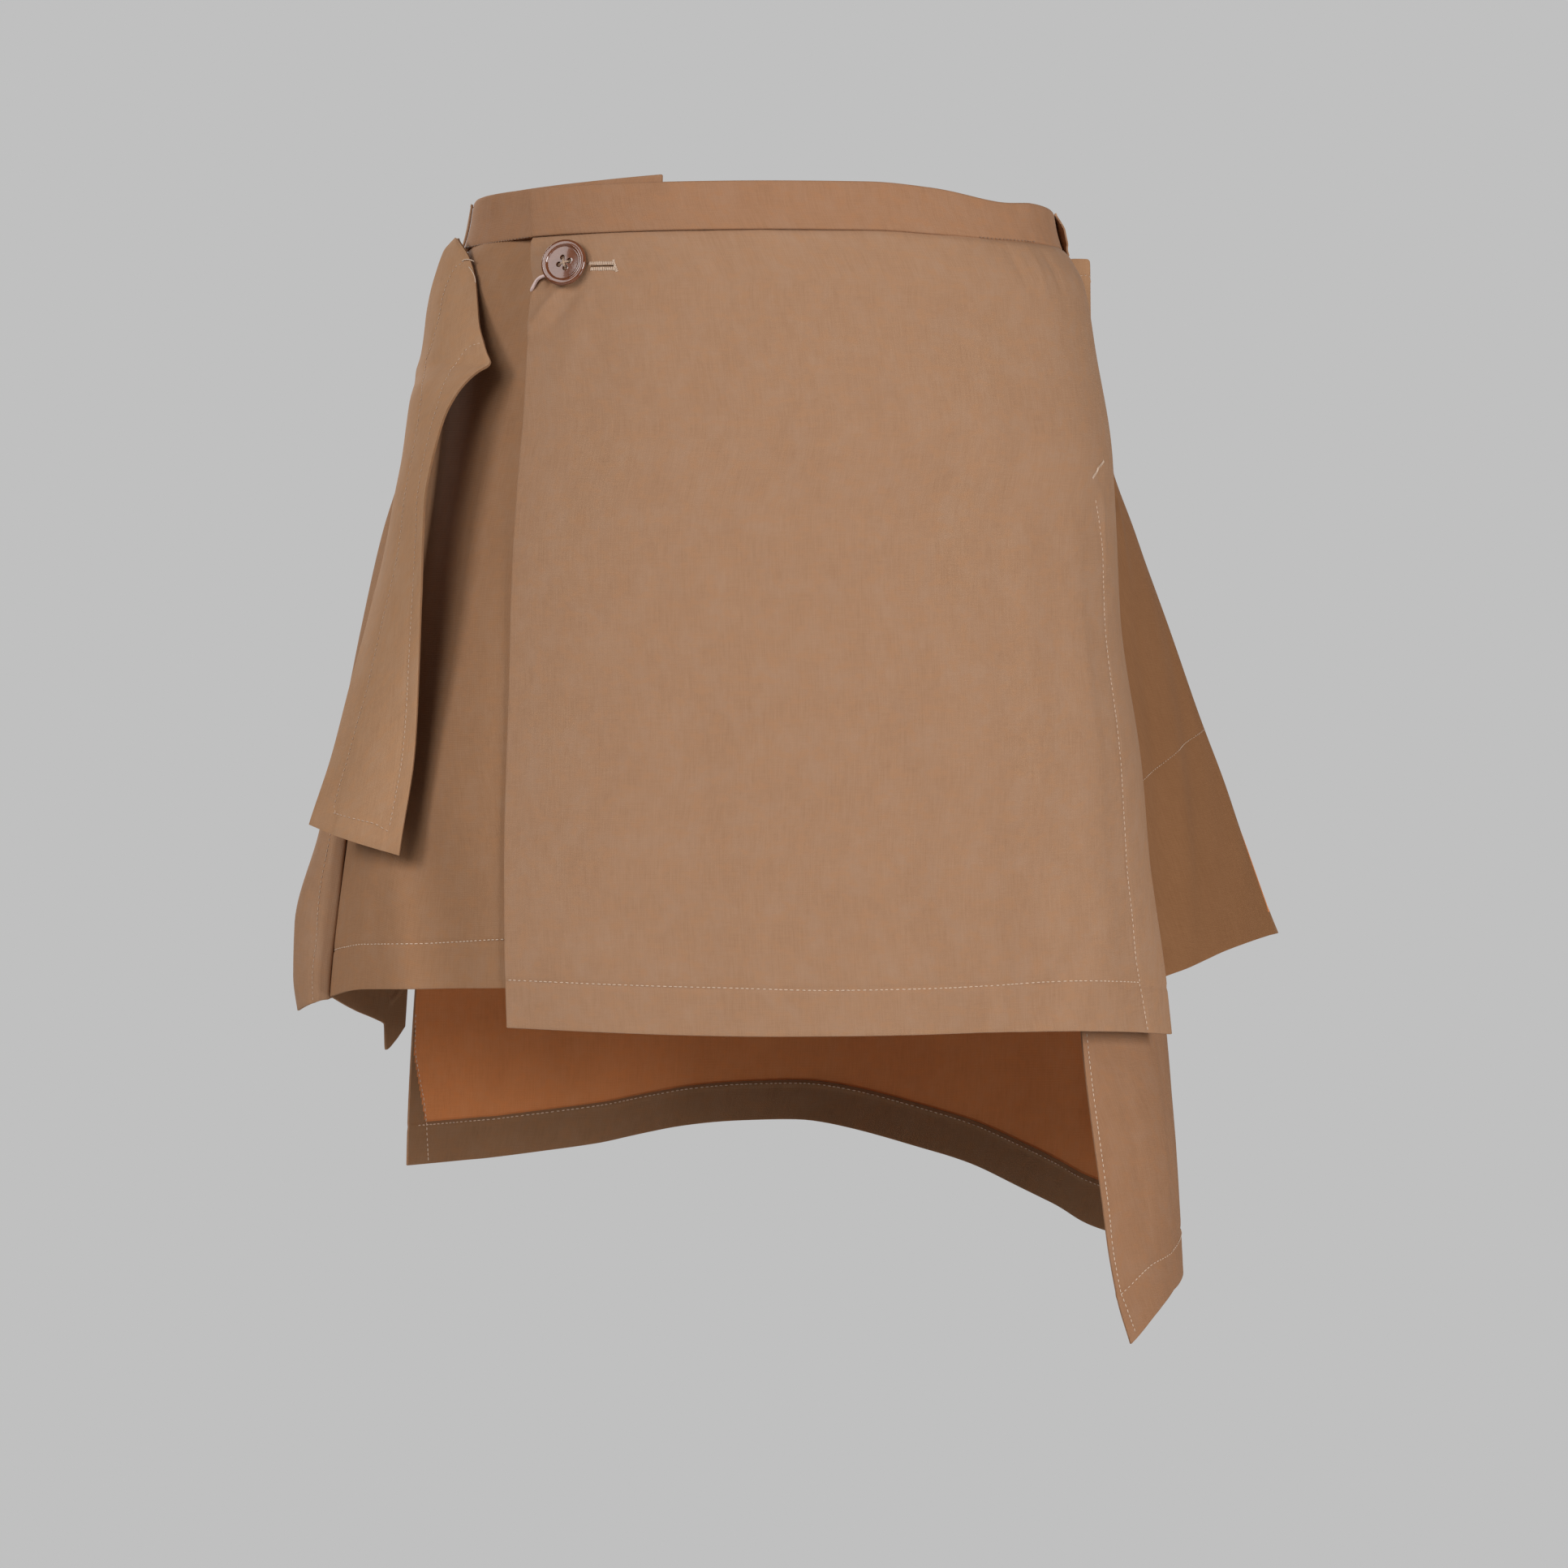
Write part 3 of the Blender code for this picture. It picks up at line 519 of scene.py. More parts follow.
def sew(name, form, rows, pitch=2.45, length=1.6, width=0.5, across_line=False, lift=0.12, finish=None):
    """Stitches laid on a form. Each row is a table of across and down; `across_line` turns them across it."""
    verts, faces = [], []
    for line in rows:
        dense, facing = along_form(form, line["across"], line["down"])
        lengths = np.concatenate([[0], np.linalg.norm(np.diff(dense, axis=0), axis=1).cumsum()])
        count = max(int(round(lengths[-1] / pitch)), 1)
        for k in range(count):
            uneven = 0.12 * pitch * sin(7.3 * k + 2.1 * count)
            at = (k + 0.5) * lengths[-1] / count + uneven
            here, up, ahead = (
                np.array([np.interp(at, lengths, course[:, j]) for j in range(3)])
                for course in (dense, facing, np.gradient(dense, axis=0))
            )
            up /= np.linalg.norm(up)
            ahead -= up * (ahead @ up)
            ahead /= max(np.linalg.norm(ahead), 1e-9)
            side = np.cross(up, ahead)
            swing = radians(5) * sin(3.1 * k + count)
            ahead, side = ahead * cos(swing) + side * sin(swing), side * cos(swing) - ahead * sin(swing)
            if across_line:
                ahead, side = side, -ahead
            size = 1 + 0.1 * sin(5.7 * k)
            shaped = (
                BEAD_POINTS[:, :1] * ahead * length * size
                + BEAD_POINTS[:, 1:2] * side * width
                + BEAD_POINTS[:, 2:] * up * width * 0.9
            )
            faces += [tuple(i + len(verts) * len(BEAD_POINTS) for i in face) for face in BEAD_FACES]
            verts.append(shaped + here + up * lift)
    mesh = bpy.data.meshes.new(name)
    mesh.from_pydata((np.concatenate(verts) * MM).tolist(), [], faces)
    mesh.shade_smooth()
    piece = bpy.data.objects.new(name, mesh)
    bpy.context.scene.collection.objects.link(piece)
    outward(piece)
    mesh.materials.append(finish or thread_cream)
    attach(piece, "root")
    return piece


def outward(piece, merged=0.0):
    """Turns a piece's faces to look outwards, after merging its points that lie up to `merged` m apart."""
    shape = bmesh.new()
    shape.from_mesh(piece.data)
    if merged:
        bmesh.ops.remove_doubles(shape, verts=shape.verts, dist=merged)
    bmesh.ops.recalc_face_normals(shape, faces=shape.faces)
    shape.to_mesh(piece.data)
    shape.free()


def thread_finish(name, colour):
    """Spun thread: two tones in a fine twist, softly shining."""
    material, add, shader = new_finish(name)
    grain = add("TexNoise", Vector=add("TexCoord")["Object"], Scale=2600.0, Detail=2.0)["Fac"]
    bump = add("Bump", Height=grain, Distance=0.0001, Strength=0.6)["Normal"]
    colours = tinted(add, grain, tuple(0.72 * c for c in colour), colour)
    join(shader, Base_Color=colours, Normal=bump, Roughness=0.6, Sheen_Weight=0.2)
    return material


thread_cream = thread_finish("cream thread", (0.78, 0.58, 0.43))
thread_dull = thread_finish("dull cream thread", (0.6, 0.41, 0.28))
thread_tan = thread_finish("tan thread", (0.3, 0.17, 0.1))
# The band is sewn on in the ditch; the stitches show a little where the seam rolls, at both ends.
DITCH_RIGHT = table("across down", (44, 0.985), (54, 0.985), (63, 0.985))
DITCH_LEFT = table("across down", (273, 0.985), (309, 0.985))
sew(
    "waistband_stitches", waistband_form, [DITCH_RIGHT, DITCH_LEFT],
    pitch=2.1, length=1.3, width=0.6, lift=0.1, finish=thread_tan,
)

# The outer front panel: one piece of wool, turned under at its left edge and hem and at the free part of its
# right edge, which is sewn down to the hip and open below. Topstitched by machine in cream thread.
OVERLAP_EDGES = table(
    "down left right",
    (0.00, -48.9, 93.0),
    (0.036, -46.9, 93.0),
    (0.064, -45.1, 93.0),
    (0.078, -45.5, 93.0),
    (0.14, -44.6, 93.0),
    (0.24, -43.2, 93.0),
    (0.28, -42.9, 91.0),
    (0.36, -42.0, 85.5),
    (0.46, -40.5, 83.5),
    (0.58, -38.5, 81.5),
    (0.68, -37.2, 78.6),
    (0.80, -35.8, 74.3),
    (0.92, -34.4, 72.4),
    (1.00, -33.6, 72.0),
)
OVERLAP_HEM = table("across drop", (0, 365.3), (0.32, 368.3), (0.75, 366.8), (1, 369.8))
OVERLAP_OUT = table("angle out", (-50, 2.2), (0, 2.2), (60, 1.2), (93, 0.0))
OVERLAP_SLIT_OUT = table("down out", (0, 0.0), (0.24, 0.0), (0.4, 1.8), (0.6, 2.6), (1, 2.6))
FOLD_COLUMNS = "top_angle hem_angle width at_top at_middle at_hem"
OVERLAP_FOLDS = table(
    FOLD_COLUMNS,
    (20, 29, 4.0, 0.0, 0.0, -3.0),
    (62, 37, 5.0, 0.0, 0.0, -3.5),
    (55, 52, 6.0, 0.0, 1.6, 3.0),
    (40, 45, 5.0, 0.6, 1.4, 2.0),
    (8, 14, 7.0, 0.0, 1.2, 2.2),
    (-12, -8, 9.0, 0.0, -0.8, -1.2),
)
OVERLAP_WIDTH, OVERLAP_HEIGHT = 300, 355


def place_overlap(across, down):
    left = read(OVERLAP_EDGES, "left", down)
    angle = left + (read(OVERLAP_EDGES, "right", down) - left) * across
    top = panel_top(angle)
    drop = top + (read(OVERLAP_HEM, "drop", across) - top) * down
    slit_share = np.interp(angle, (40, 75), (0, 1))
    out = read(OVERLAP_OUT, "out", angle) + slit_share * read(OVERLAP_SLIT_OUT, "out", down)
    return ring(angle, drop, out + folds(OVERLAP_FOLDS, angle, down) + seam_tuck(drop, top, 2.0)), drop


OVERLAP_CREASES = table(
    CREASE_COLUMNS,
    (0.030, 0.090, 13, 2.8, -42, 1.9),
    (0.029, 0.052, 4.5, 1.7, -12, -3.4),
    (0.060, 0.092, 10.0, 3.2, -40, -1.6),
    (0.075, 0.130, 26, 6.0, -12, 0.6),
    (0.270, 0.050, 22, 4.0, 10, -0.5),
    (0.330, 0.060, 24, 5.0, -8, 0.5),
    (0.700, 0.030, 9, 2.6, 8, -1.0),
    (0.745, 0.040, 11, 3.0, -6, 0.9),
    (0.790, 0.035, 10, 3.0, 5, -0.9),
    (0.723, 0.940, 30, 4.5, -41, -2.0),
    (0.790, 0.930, 34, 7.0, -30, 1.0),
    (0.600, 0.985, 22, 3.5, 4, -1.8),
    (0.640, 0.940, 30, 5.0, 2, 0.8),
    (0.655, 0.540, 110, 6.0, 2, -1.1),
    (0.705, 0.560, 110, 6.0, 2, 1.0),
    (0.760, 0.600, 100, 5.0, 3, -0.9),
    (0.815, 0.560, 90, 6.0, 4, 0.9),
    (0.500, 0.800, 70, 9.0, 0, 0.6),
    (0.560, 0.300, 80, 9.0, -4, -0.6),
    (0.880, 0.345, 16, 2.4, 14, 1.0),
    (0.860, 0.300, 10, 2.2, 40, -0.9),
    (0.120, 0.039, 7, 3.5, 90, 0.3),
)
OVERLAP_HEM_STITCH = table(
    "across down", (0.003, 0.940), (0.253, 0.940), (0.407, 0.9433), (0.483, 0.9433), (0.563, 0.943),
    (0.667, 0.940), (0.757, 0.937), (0.905, 0.937),
)
OVERLAP_SIDE_STITCH = table(
    "across down", (0.845, 0.325), (0.867, 0.355), (0.885, 0.408), (0.900, 0.698), (0.907, 0.768),
    (0.907, 0.845), (0.902, 0.907), (0.905, 0.937), (0.915, 0.998),
)
OVERLAP_SLIT_TACK = table("across down", (0.8633, 0.275), (0.838, 0.290), (0.823, 0.300))


def sewn_line(distance, width=1.3, depth=0.35):
    """The small trough that stitches press into the cloth, at a distance in mm from their line."""
    return -depth * np.exp(-((distance / width) ** 2))


def overlap_relief(across, down):
    side = np.interp(down, OVERLAP_SIDE_STITCH["down"], OVERLAP_SIDE_STITCH["across"])
    side_line = sewn_line((across - side) * OVERLAP_WIDTH, 1.5) * (down > 0.32)
    sewn = sewn_line((down - 0.9415) * OVERLAP_HEIGHT) + side_line
    size = 0.25 + 0.35 * np.clip((across - 0.35) / 0.4, 0, 1)
    return worked(OVERLAP_CREASES, across, down, OVERLAP_WIDTH, OVERLAP_HEIGHT, size, 1.3, sewn)


def overlap_layers(across, down):
    side = np.interp(down, OVERLAP_SIDE_STITCH["down"], OVERLAP_SIDE_STITCH["across"])
    return ((down > 0.938) | (across < 0.075) | ((across > side) & (down > 0.27))).astype(float)


overlap_form = Form(place_overlap, overlap_relief)
front_overlap = cloth(
    "front_overlap_cloth",
    overlap_form,
    stations((0, 0.1, 34), (0.1, 0.88, 98), (0.88, 0.93, 14), (0.93, 1, 12)),
    stations((-0.012, 0, 3), (0, 0.12, 36), (0.12, 0.93, 94), (0.93, 0.952, 12), (0.952, 1, 10)),
    1.25,
    overlap_layers,
)
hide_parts("front_overlap")
sew("front_overlap_stitches", overlap_form, [OVERLAP_HEM_STITCH, OVERLAP_SIDE_STITCH])
sew(
    "front_overlap_slit_tack", overlap_form, [OVERLAP_SLIT_TACK],
    pitch=0.9, length=1.5, across_line=True, lift=0.15,
)
# The sewn-down part of its right edge is edged with close stitches.
OVERLAP_EDGE_STITCH = table("across down", (0.985, 0.015), (0.985, 0.13), (0.98, 0.26))
sew(
    "front_overlap_edge_stitches", overlap_form, [OVERLAP_EDGE_STITCH],
    pitch=1.5, length=1.4, width=0.45, finish=thread_dull,
)

# The inner front panel: its pleat-like left fold stands at the hip, behind the tab, and the strip behind the
# fold is turned back into the skirt, with a hemmed edge. It is sewn under the band's inner end.
UNDERLAP_EDGES = table(
    "down fold right",
    (0.00, -93.5, -17.0),
    (0.29, -90.0, -17.0),
    (0.60, -84.0, -16.0),
    (0.80, -80.0, -15.0),
    (1.00, -77.7, -14.0),
)
UNDERLAP_HEM = table(
    "across drop",
    (-1.00, 369.5),
    (-0.90, 376.0),
    (-0.80, 380.0),
    (-0.765, 368.0),
    (-0.70, 366.5),
    (-0.40, 361.5),
    (0.00, 354.3),
    (0.22, 350.0),
    (0.45, 349.0),
    (1.00, 346.0),
)
UNDERLAP_FREE_EDGE = table(
    "drop edge_x edge_y",
    (11, -130.0, 14.0),
    (60, -139.0, 17.0),
    (110, -147.0, 19.0),
    (200, -156.0, 17.0),
    (280, -163.0, 12.0),
    (354, -167.0, 8.0),
    (380, -168.5, 6.0),
)
UNDERLAP_FOLDS = table(
    FOLD_COLUMNS,
    (-50, -50, 8.0, -5.0, 0.0, 1.5),
    (-93, -86, 5.0, -2.2, -1.5, 0.0),
)
# The deep fold beside the tab: how far it lies back, and round which angle, at shares of the way down.
UNDERLAP_VALLEY = table(
    "down angle width back",
    (0.00, -72, 9.0, 0.0),
    (0.06, -72, 10.0, 6.0),
    (0.18, -72, 13.0, 18.0),
    (0.45, -72, 14.0, 24.0),
    (0.62, -65, 10.5, 19.0),
    (0.75, -59, 8.5, 14.0),
    (0.87, -49, 6.5, 9.0),
    (1.00, -45, 6.5, 7.0),
)
STRIP_BULGE = table("drop bulge", (11, 0.0), (110, 0.6), (300, 2.5))


def plan_point(rows, point, at):
    """A point in plan from a table's columns point_x and point_y."""
    return np.stack([read(rows, point + "_x", at), read(rows, point + "_y", at)])


def beside(along):
    """The direction in plan at a right angle to a line, 1 mm long."""
    return np.stack([along[1], -along[0]]) / np.maximum(np.linalg.norm(along, axis=0), 1e-9)


def place_underlap(across, down):
    fold = read(UNDERLAP_EDGES, "fold", down)
    angle = fold + (read(UNDERLAP_EDGES, "right", down) - fold) * np.maximum(across, 0)
    top = panel_top(angle + 360)
    drop = top + (read(UNDERLAP_HEM, "drop", across) - top) * down
    aside = (angle - read(UNDERLAP_VALLEY, "angle", down)) / read(UNDERLAP_VALLEY, "width", down)
    valley = read(UNDERLAP_VALLEY, "back", down) * np.exp(-(aside**2)) * np.clip((angle - fold) / 8, 0, 1)
    front = ring(angle, drop, folds(UNDERLAP_FOLDS, angle, down) + seam_tuck(drop, top, 2.0))
    front = front + np.stack([np.zeros_like(valley), valley])
    along = plan_point(UNDERLAP_FREE_EDGE, "edge", drop) - front
    behind = np.clip(-across, 0, 1)
    return front + along * behind - beside(along) * read(STRIP_BULGE, "bulge", drop) * np.sin(pi * behind), drop


UNDERLAP_WIDTH, UNDERLAP_HEIGHT = 120, 335
UNDERLAP_CREASES = table(
    CREASE_COLUMNS,
    (0.62, 0.700, 120, 5.0, 2, 0.5),
    (0.30, 0.800, 60, 4.0, -6, -0.5),
    (0.44, 0.930, 26, 4.0, 8, -0.6),
    (0.20, 0.900, 30, 4.0, 0, 0.5),
    (-0.50, 0.800, 60, 6.0, 5, 0.6),
)
UNDERLAP_HEM_STITCH = table(
    "across down", (-0.97, 0.940), (-0.5, 0.940), (0.0, 0.939), (0.0375, 0.9385), (0.1425, 0.940),
    (0.22, 0.940), (0.38, 0.940), (0.454, 0.940), (0.68, 0.936), (1.0, 0.935),
)


def underlap_relief(across, down):
    hem_line = sewn_line((down - 0.9395) * UNDERLAP_HEIGHT)
    return worked(UNDERLAP_CREASES, across, down, UNDERLAP_WIDTH, UNDERLAP_HEIGHT, 0.35, 2.2, hem_line)


def underlap_layers(across, down):
    return ((down > 0.936) | (across < -0.78)).astype(float)


underlap_form = Form(place_underlap, underlap_relief)
# Its outer face is the darker wool painted as shade, its turned strip the lighter tab wool painted as light,
# its hems inside the darker hem wool.
front_underlap = cloth(
    "front_underlap_cloth",
    underlap_form,
    stations((-1, -0.8, 12), (-0.8, -0.76, 6), (-0.76, -0.04, 20), (-0.04, 0.04, 10), (0.04, 1, 76)),
    stations((-0.012, 0, 3), (0, 0.93, 104), (0.93, 0.95, 12), (0.95, 1, 9)),
    1.25,
    underlap_layers,
    wool_tab_painted_light,
    outer=wool_painted_shade,
)
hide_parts("front_underlap")
sew("front_underlap_stitches", underlap_form, [UNDERLAP_HEM_STITCH])

# The back panel: one wide piece, longer than the front, hung round the back. Its right edge swings forward
# inside the right hip and ends in a pointed tail. Hems are turned inwards and topstitched.
BACK_LEFT_ANGLE = 236.0
BACK_FRONT_EDGE = table(
    "down angle",
    (0.00, 88.0),
    (0.18, 88.0),
    (0.26, 80.0),
    (0.35, 71.0),
    (0.45, 63.0),
    (0.60, 55.4),
    (0.72, 51.7),
    (0.90, 54.6),
    (0.96, 56.9),
    (1.00, 60.0),
)
BACK_HEM = table(
    "angle drop",
    (60.0, 507.0),
    (69, 494.5),
    (80, 485.5),
    (90, 480.0),
    (105, 477.0),
    (121, 469.6),
    (134.6, 457.6),
    (155, 436.0),
    (175.7, 420.0),
    (184, 421.0),
    (205, 431.0),
    (222, 437.5),
    (236, 438.6),
)
BACK_TUCK = table(
    "drop depth", (11, 0.0), (100, 0.0), (139, 2.2), (180, 3.2), (220, 3.6), (297, 5.0), (350, 7.0),
    (510, 7.0),
)
BACK_FOLDS = table(
    FOLD_COLUMNS,
    (112, 108, 8.0, 0.0, 0.0, 5.0),
    (128, 126, 6.5, 0.0, -2.0, -6.0),
    (150, 152, 8.0, 0.5, 3.5, 7.0),
    (168, 170, 6.5, 0.0, -3.5, -7.5),
    (188, 190, 8.0, 0.5, 3.5, 7.0),
    (204, 206, 6.0, 0.0, -3.0, -7.0),
    (219, 222, 7.0, 0.0, 2.0, 5.0),
)
BACK_INSET = 2.3


def place_back(across, down):
    front_edge = read(BACK_FRONT_EDGE, "angle", down)
    angle = front_edge + (BACK_LEFT_ANGLE - front_edge) * across
    hem_angle = 60.0 + (BACK_LEFT_ANGLE - 60.0) * across
    top = panel_top(angle)
    drop = top + (read(BACK_HEM, "drop", hem_angle) - top) * down
    tuck = read(BACK_TUCK, "depth", drop) * np.interp(angle, (80, 98), (1, 0))
    return ring(angle, drop, folds(BACK_FOLDS, angle, down) - BACK_INSET - tuck), drop


BACK_WIDTH, BACK_HEIGHT = 480, 440
BACK_CREASES = table(
    CREASE_COLUMNS,
    (0.06, 0.860, 50, 5.0, 5, -0.6),
    (0.13, 0.900, 40, 6.0, -4, 0.6),
    (0.38, 0.620, 110, 6.5, 9, -1.8),
    (0.45, 0.500, 120, 8.0, 4, 1.5),
    (0.55, 0.760, 90, 6.0, -6, -2.2),
    (0.62, 0.350, 90, 7.0, 10, -1.4),
    (0.74, 0.820, 80, 6.0, 5, 1.8),
    (0.80, 0.700, 100, 6.0, 3, -1.8),
    (0.88, 0.560, 110, 8.0, -3, 1.2),
    (0.90, 0.930, 26, 4.0, 12, -1.4),
    (0.52, 0.040, 12, 3.0, 10, -1.4),
    (0.56, 0.050, 12, 3.5, 4, 1.0),
    (0.66, 0.045, 14, 3.5, -8, -1.4),
)
BACK_HEM_STITCH = table(
    "across down", (0.004, 0.957), (0.055, 0.958), (0.12, 0.965), (0.176, 0.962), (0.3, 0.958), (0.6, 0.957),
    (0.8, 0.956), (0.99, 0.956),
)
BACK_SIDE_STITCH = table(
    "across down", (0.006, 0.30), (0.006, 0.60), (0.0065, 0.88), (0.005, 0.92), (0.005, 0.952),
    (0.0075, 0.968), (0.0095, 0.995),
)
BACK_LEFT_STITCH = table(
    "across down", (0.999, 0.83), (0.9968, 0.868), (0.989, 0.904), (0.9824, 0.930), (0.979, 0.952),
    (0.9745, 0.998),
)


def back_relief(across, down):
    hem_line = sewn_line((down - 0.9575) * BACK_HEIGHT)
    return worked(BACK_CREASES, across, down, BACK_WIDTH, BACK_HEIGHT, 0.55, 3.1, hem_line)


def back_layers(across, down):
    left = np.interp(down, BACK_LEFT_STITCH["down"], BACK_LEFT_STITCH["across"])
    return ((down > 0.952) | (across < 0.012) | (across > left)).astype(float)


back_form = Form(place_back, back_relief)
# Its inner face is the bright orange wool painted as light shining through, its turned hems inside the darker
# wool painted as shade.
back_panel = cloth(
    "back_panel_cloth",
    back_form,
    stations((0, 0.011, 3), (0.011, 0.013, 1), (0.013, 0.3, 52), (0.3, 0.97, 92), (0.97, 1, 16)),
    stations((-0.01, 0, 2), (0, 0.949, 120), (0.949, 0.953, 3), (0.953, 0.963, 8), (0.963, 1, 12)),
    1.3,
    back_layers,
    wool_inside_painted_through_light,
    outer=wool_back,
)
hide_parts("back_panel")
sew("back_panel_stitches", back_form, [BACK_HEM_STITCH, BACK_SIDE_STITCH, BACK_LEFT_STITCH])
# The same seams show as a second row of stitches on the inner face of the hem.
back_inner_form = Form(place_back, lambda across, down: back_relief(across, down) - 1.36)
sew("back_panel_inner_stitches", back_inner_form, [BACK_HEM_STITCH, BACK_LEFT_STITCH], lift=-0.1)

# The left gore: a flared piece between the inner front panel and the back panel. It rolls out over a lip and
# a rounded ridge and falls back to the side seam.
LEFT_WING = table(
    "drop front_angle front_out lip_x lip_y ridge_x ridge_y flank_x flank_y",
    (11, -91.0, 0.0, -138.0, 6.0, -137.5, 14.0, -132.0, 31.0),
    (60, -90.6, 0.0, -151.0, 5.0, -151.5, 13.0, -146.0, 38.0),
    (105, -90.0, 0.4, -162.0, 3.0, -166.5, 11.0, -160.0, 42.0),
    (141, -89.0, 0.0, -170.0, -1.0, -178.0, 7.0, -169.0, 43.0),
    (183, -87.6, -1.0, -178.0, -8.0, -187.0, 1.0, -179.0, 44.0),
    (215, -86.2, -1.6, -184.5, -14.0, -193.0, -4.0, -187.0, 44.0),
    (279, -82.6, -2.6, -196.5, -22.0, -206.0, -9.0, -201.0, 43.0),
    (322, -80.6, -3.0, -201.5, -26.0, -217.0, -10.0, -208.0, 43.0),
    (345, -79.6, -3.2, -204.0, -28.0, -217.5, -10.0, -209.0, 43.0),
    (365, -79.4, -3.2, -204.5, -28.0, -215.0, -10.0, -208.0, 43.0),
)
LEFT_WING_HEM = table("across drop", (0, 355.0), (1, 356.5), (2, 361.5), (3, 357.0), (4, 350.0))


LEFT_SEAM_ANGLE = -123.85


def path_through(points, shares):
    """Smooth plan curves through named points; share 1.5 is halfway from point 1 to point 2."""
    x, y = (np.stack([point[k] for point in points]) for k in (0, 1))
    steps = np.hypot(np.diff(x, axis=0), np.diff(y, axis=0))
    lengths = np.concatenate([np.zeros_like(steps[:1]), steps.cumsum(axis=0)])
    i = np.clip(np.floor(shares).astype(int), 0, len(points) - 2)
    start = np.take_along_axis(lengths, i[None], 0)[0]
    end = np.take_along_axis(lengths, i[None] + 1, 0)[0]
    at = np.clip(start + (shares - i) * (end - start), 0, lengths[-1])
    i = np.clip((lengths < at).sum(axis=0) - 1, 0, len(points) - 2)
    return np.stack([smooth_read(lengths, x, i, at), smooth_read(lengths, y, i, at)])


def round_point(rows, point, at, drop):
    """A point on the round form from a table's columns point_angle and point_out."""
    return ring(read(rows, point + "_angle", at), drop, read(rows, point + "_out", at))


def place_left_wing(turned, down):
    across = 4 - turned
    top = panel_top(270)
    drop = top + (read(LEFT_WING_HEM, "drop", across) - top) * down
    front = round_point(LEFT_WING, "front", drop, drop)
    lip, ridge, flank = (plan_point(LEFT_WING, point, drop) for point in ("lip", "ridge", "flank"))
    rear = ring(np.full_like(drop, LEFT_SEAM_ANGLE), drop, -BACK_INSET)
    return path_through([front, lip, ridge, flank, rear], across), drop


# The mean width of one of its four steps across, and its height.
LEFT_WING_STEP, LEFT_WING_HEIGHT = 22, 345
LEFT_WING_CREASES = table(
    CREASE_COLUMNS,
    (3.45, 0.880, 90, 4.5, 1, 2.2),
    (2.50, 0.700, 60, 4.0, -3, 0.5),
    (1.60, 0.820, 50, 6.0, 4, 0.8),
    (0.90, 0.700, 60, 6.0, -3, -0.8),
)
LEFT_WING_STITCH = table(
    "across down", (2.76, 0.30), (2.74, 0.60), (2.73, 0.79), (2.72, 0.83), (2.75, 0.877), (2.80, 0.923),
    (2.78, 0.96), (2.80, 0.998),
)
LEFT_WING_HEM_STITCH = table("across down", (0.05, 0.955), (1.5, 0.955))


def left_wing_relief(across, down):
    sewn = seam_tuck(down * LEFT_WING_HEIGHT, 0.0, 2.0) + sewn_line((across - 2.77) * LEFT_WING_STEP, 1.4, 0.4)
    return worked(LEFT_WING_CREASES, across, down, LEFT_WING_STEP, LEFT_WING_HEIGHT, 0.3, 4.4, sewn)


left_wing_form = Form(place_left_wing, left_wing_relief)
# Its inner face is the bright orange wool painted as light shining through, its turned hem inside the darker
# wool painted as shade.
left_wing = cloth(
    "left_wing_cloth",
    left_wing_form,
    stations((0, 2, 26), (2, 2.6, 10), (2.6, 2.95, 12), (2.95, 4, 22)),
    stations((-0.012, 0, 3), (0, 0.95, 100), (0.95, 1, 10)),
    1.2,
    lambda across, down: (down > 0.952).astype(float),
    wool_inside_painted_through_light,
)
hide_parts("left_wing")
sew(
    "left_wing_stitches", left_wing_form, [LEFT_WING_STITCH, LEFT_WING_HEM_STITCH], finish=thread_dull
)

# The right drape: a flared piece folded on a sharp ridge that stands away from the hip. Its front leg starts
# behind the outer panel's slit edge, its rear leg is sewn to the back panel, and its top edge is hemmed and
# free.
RIGHT_WING = table(
    "drop front_angle front_out ridge_x ridge_y flank_angle flank_out",
    (14, 93.3, 0.2, 150.5, 14.0, 112.0, 4.0),
    (47, 93.3, 0.2, 151.1, 17.0, 112.0, 3.0),
    (80, 93.3, 0.2, 153.8, 21.0, 112.0, 3.2),
    (108, 92.8, 0.0, 160.8, 26.0, 112.0, 5.0),
    (139, 87.5, -1.4, 172.5, 33.0, 112.4, 7.5),
    (176, 81.7, -2.6, 186.3, 42.0, 113.0, 11.0),
    (217, 79.5, -3.0, 201.1, 51.0, 113.3, 15.5),
    (255, 76.0, -3.2, 215.3, 59.0, 113.6, 20.0),
    (297, 71.0, -4.0, 231.0, 67.0, 113.8, 24.5),
    (328, 68.0, -5.2, 242.3, 73.0, 114.0, 28.0),
    (350, 66.0, -6.0, 250.1, 76.0, 114.0, 30.0),
)
RIGHT_WING_TOP = table(
    "across drop", (0, 14.5), (1, 13.6), (1.6, 13.5), (1.86, 14.6), (2.0, 17.6), (2.1, 15.6), (2.4, 14.0),
    (4, 13.6),
)
RIGHT_WING_HEM = table("across drop", (0, 350.0), (0.5, 343.0), (2, 328.0), (3, 338.0), (4, 345.0))
RIGHT_LEG_BULGE = table("drop bulge", (14, 0.6), (110, 1.0), (350, 2.5))
RIGHT_SEAM_ANGLE, RIGHT_SEAM_OUT = 130.0, 0.4


def place_right_wing(across, down):
    top = read(RIGHT_WING_TOP, "drop", across)
    drop = top + (read(RIGHT_WING_HEM, "drop", across) - top) * down
    front = round_point(RIGHT_WING, "front", drop, drop)
    ridge = plan_point(RIGHT_WING, "ridge", drop)
    leg = (front + ridge) / 2 + beside(ridge - front) * read(RIGHT_LEG_BULGE, "bulge", drop)
    flank = round_point(RIGHT_WING, "flank", drop, drop)
    rear = ring(np.full_like(drop, RIGHT_SEAM_ANGLE), drop, RIGHT_SEAM_OUT)
    return path_through([front, leg, ridge, flank, rear], across), drop


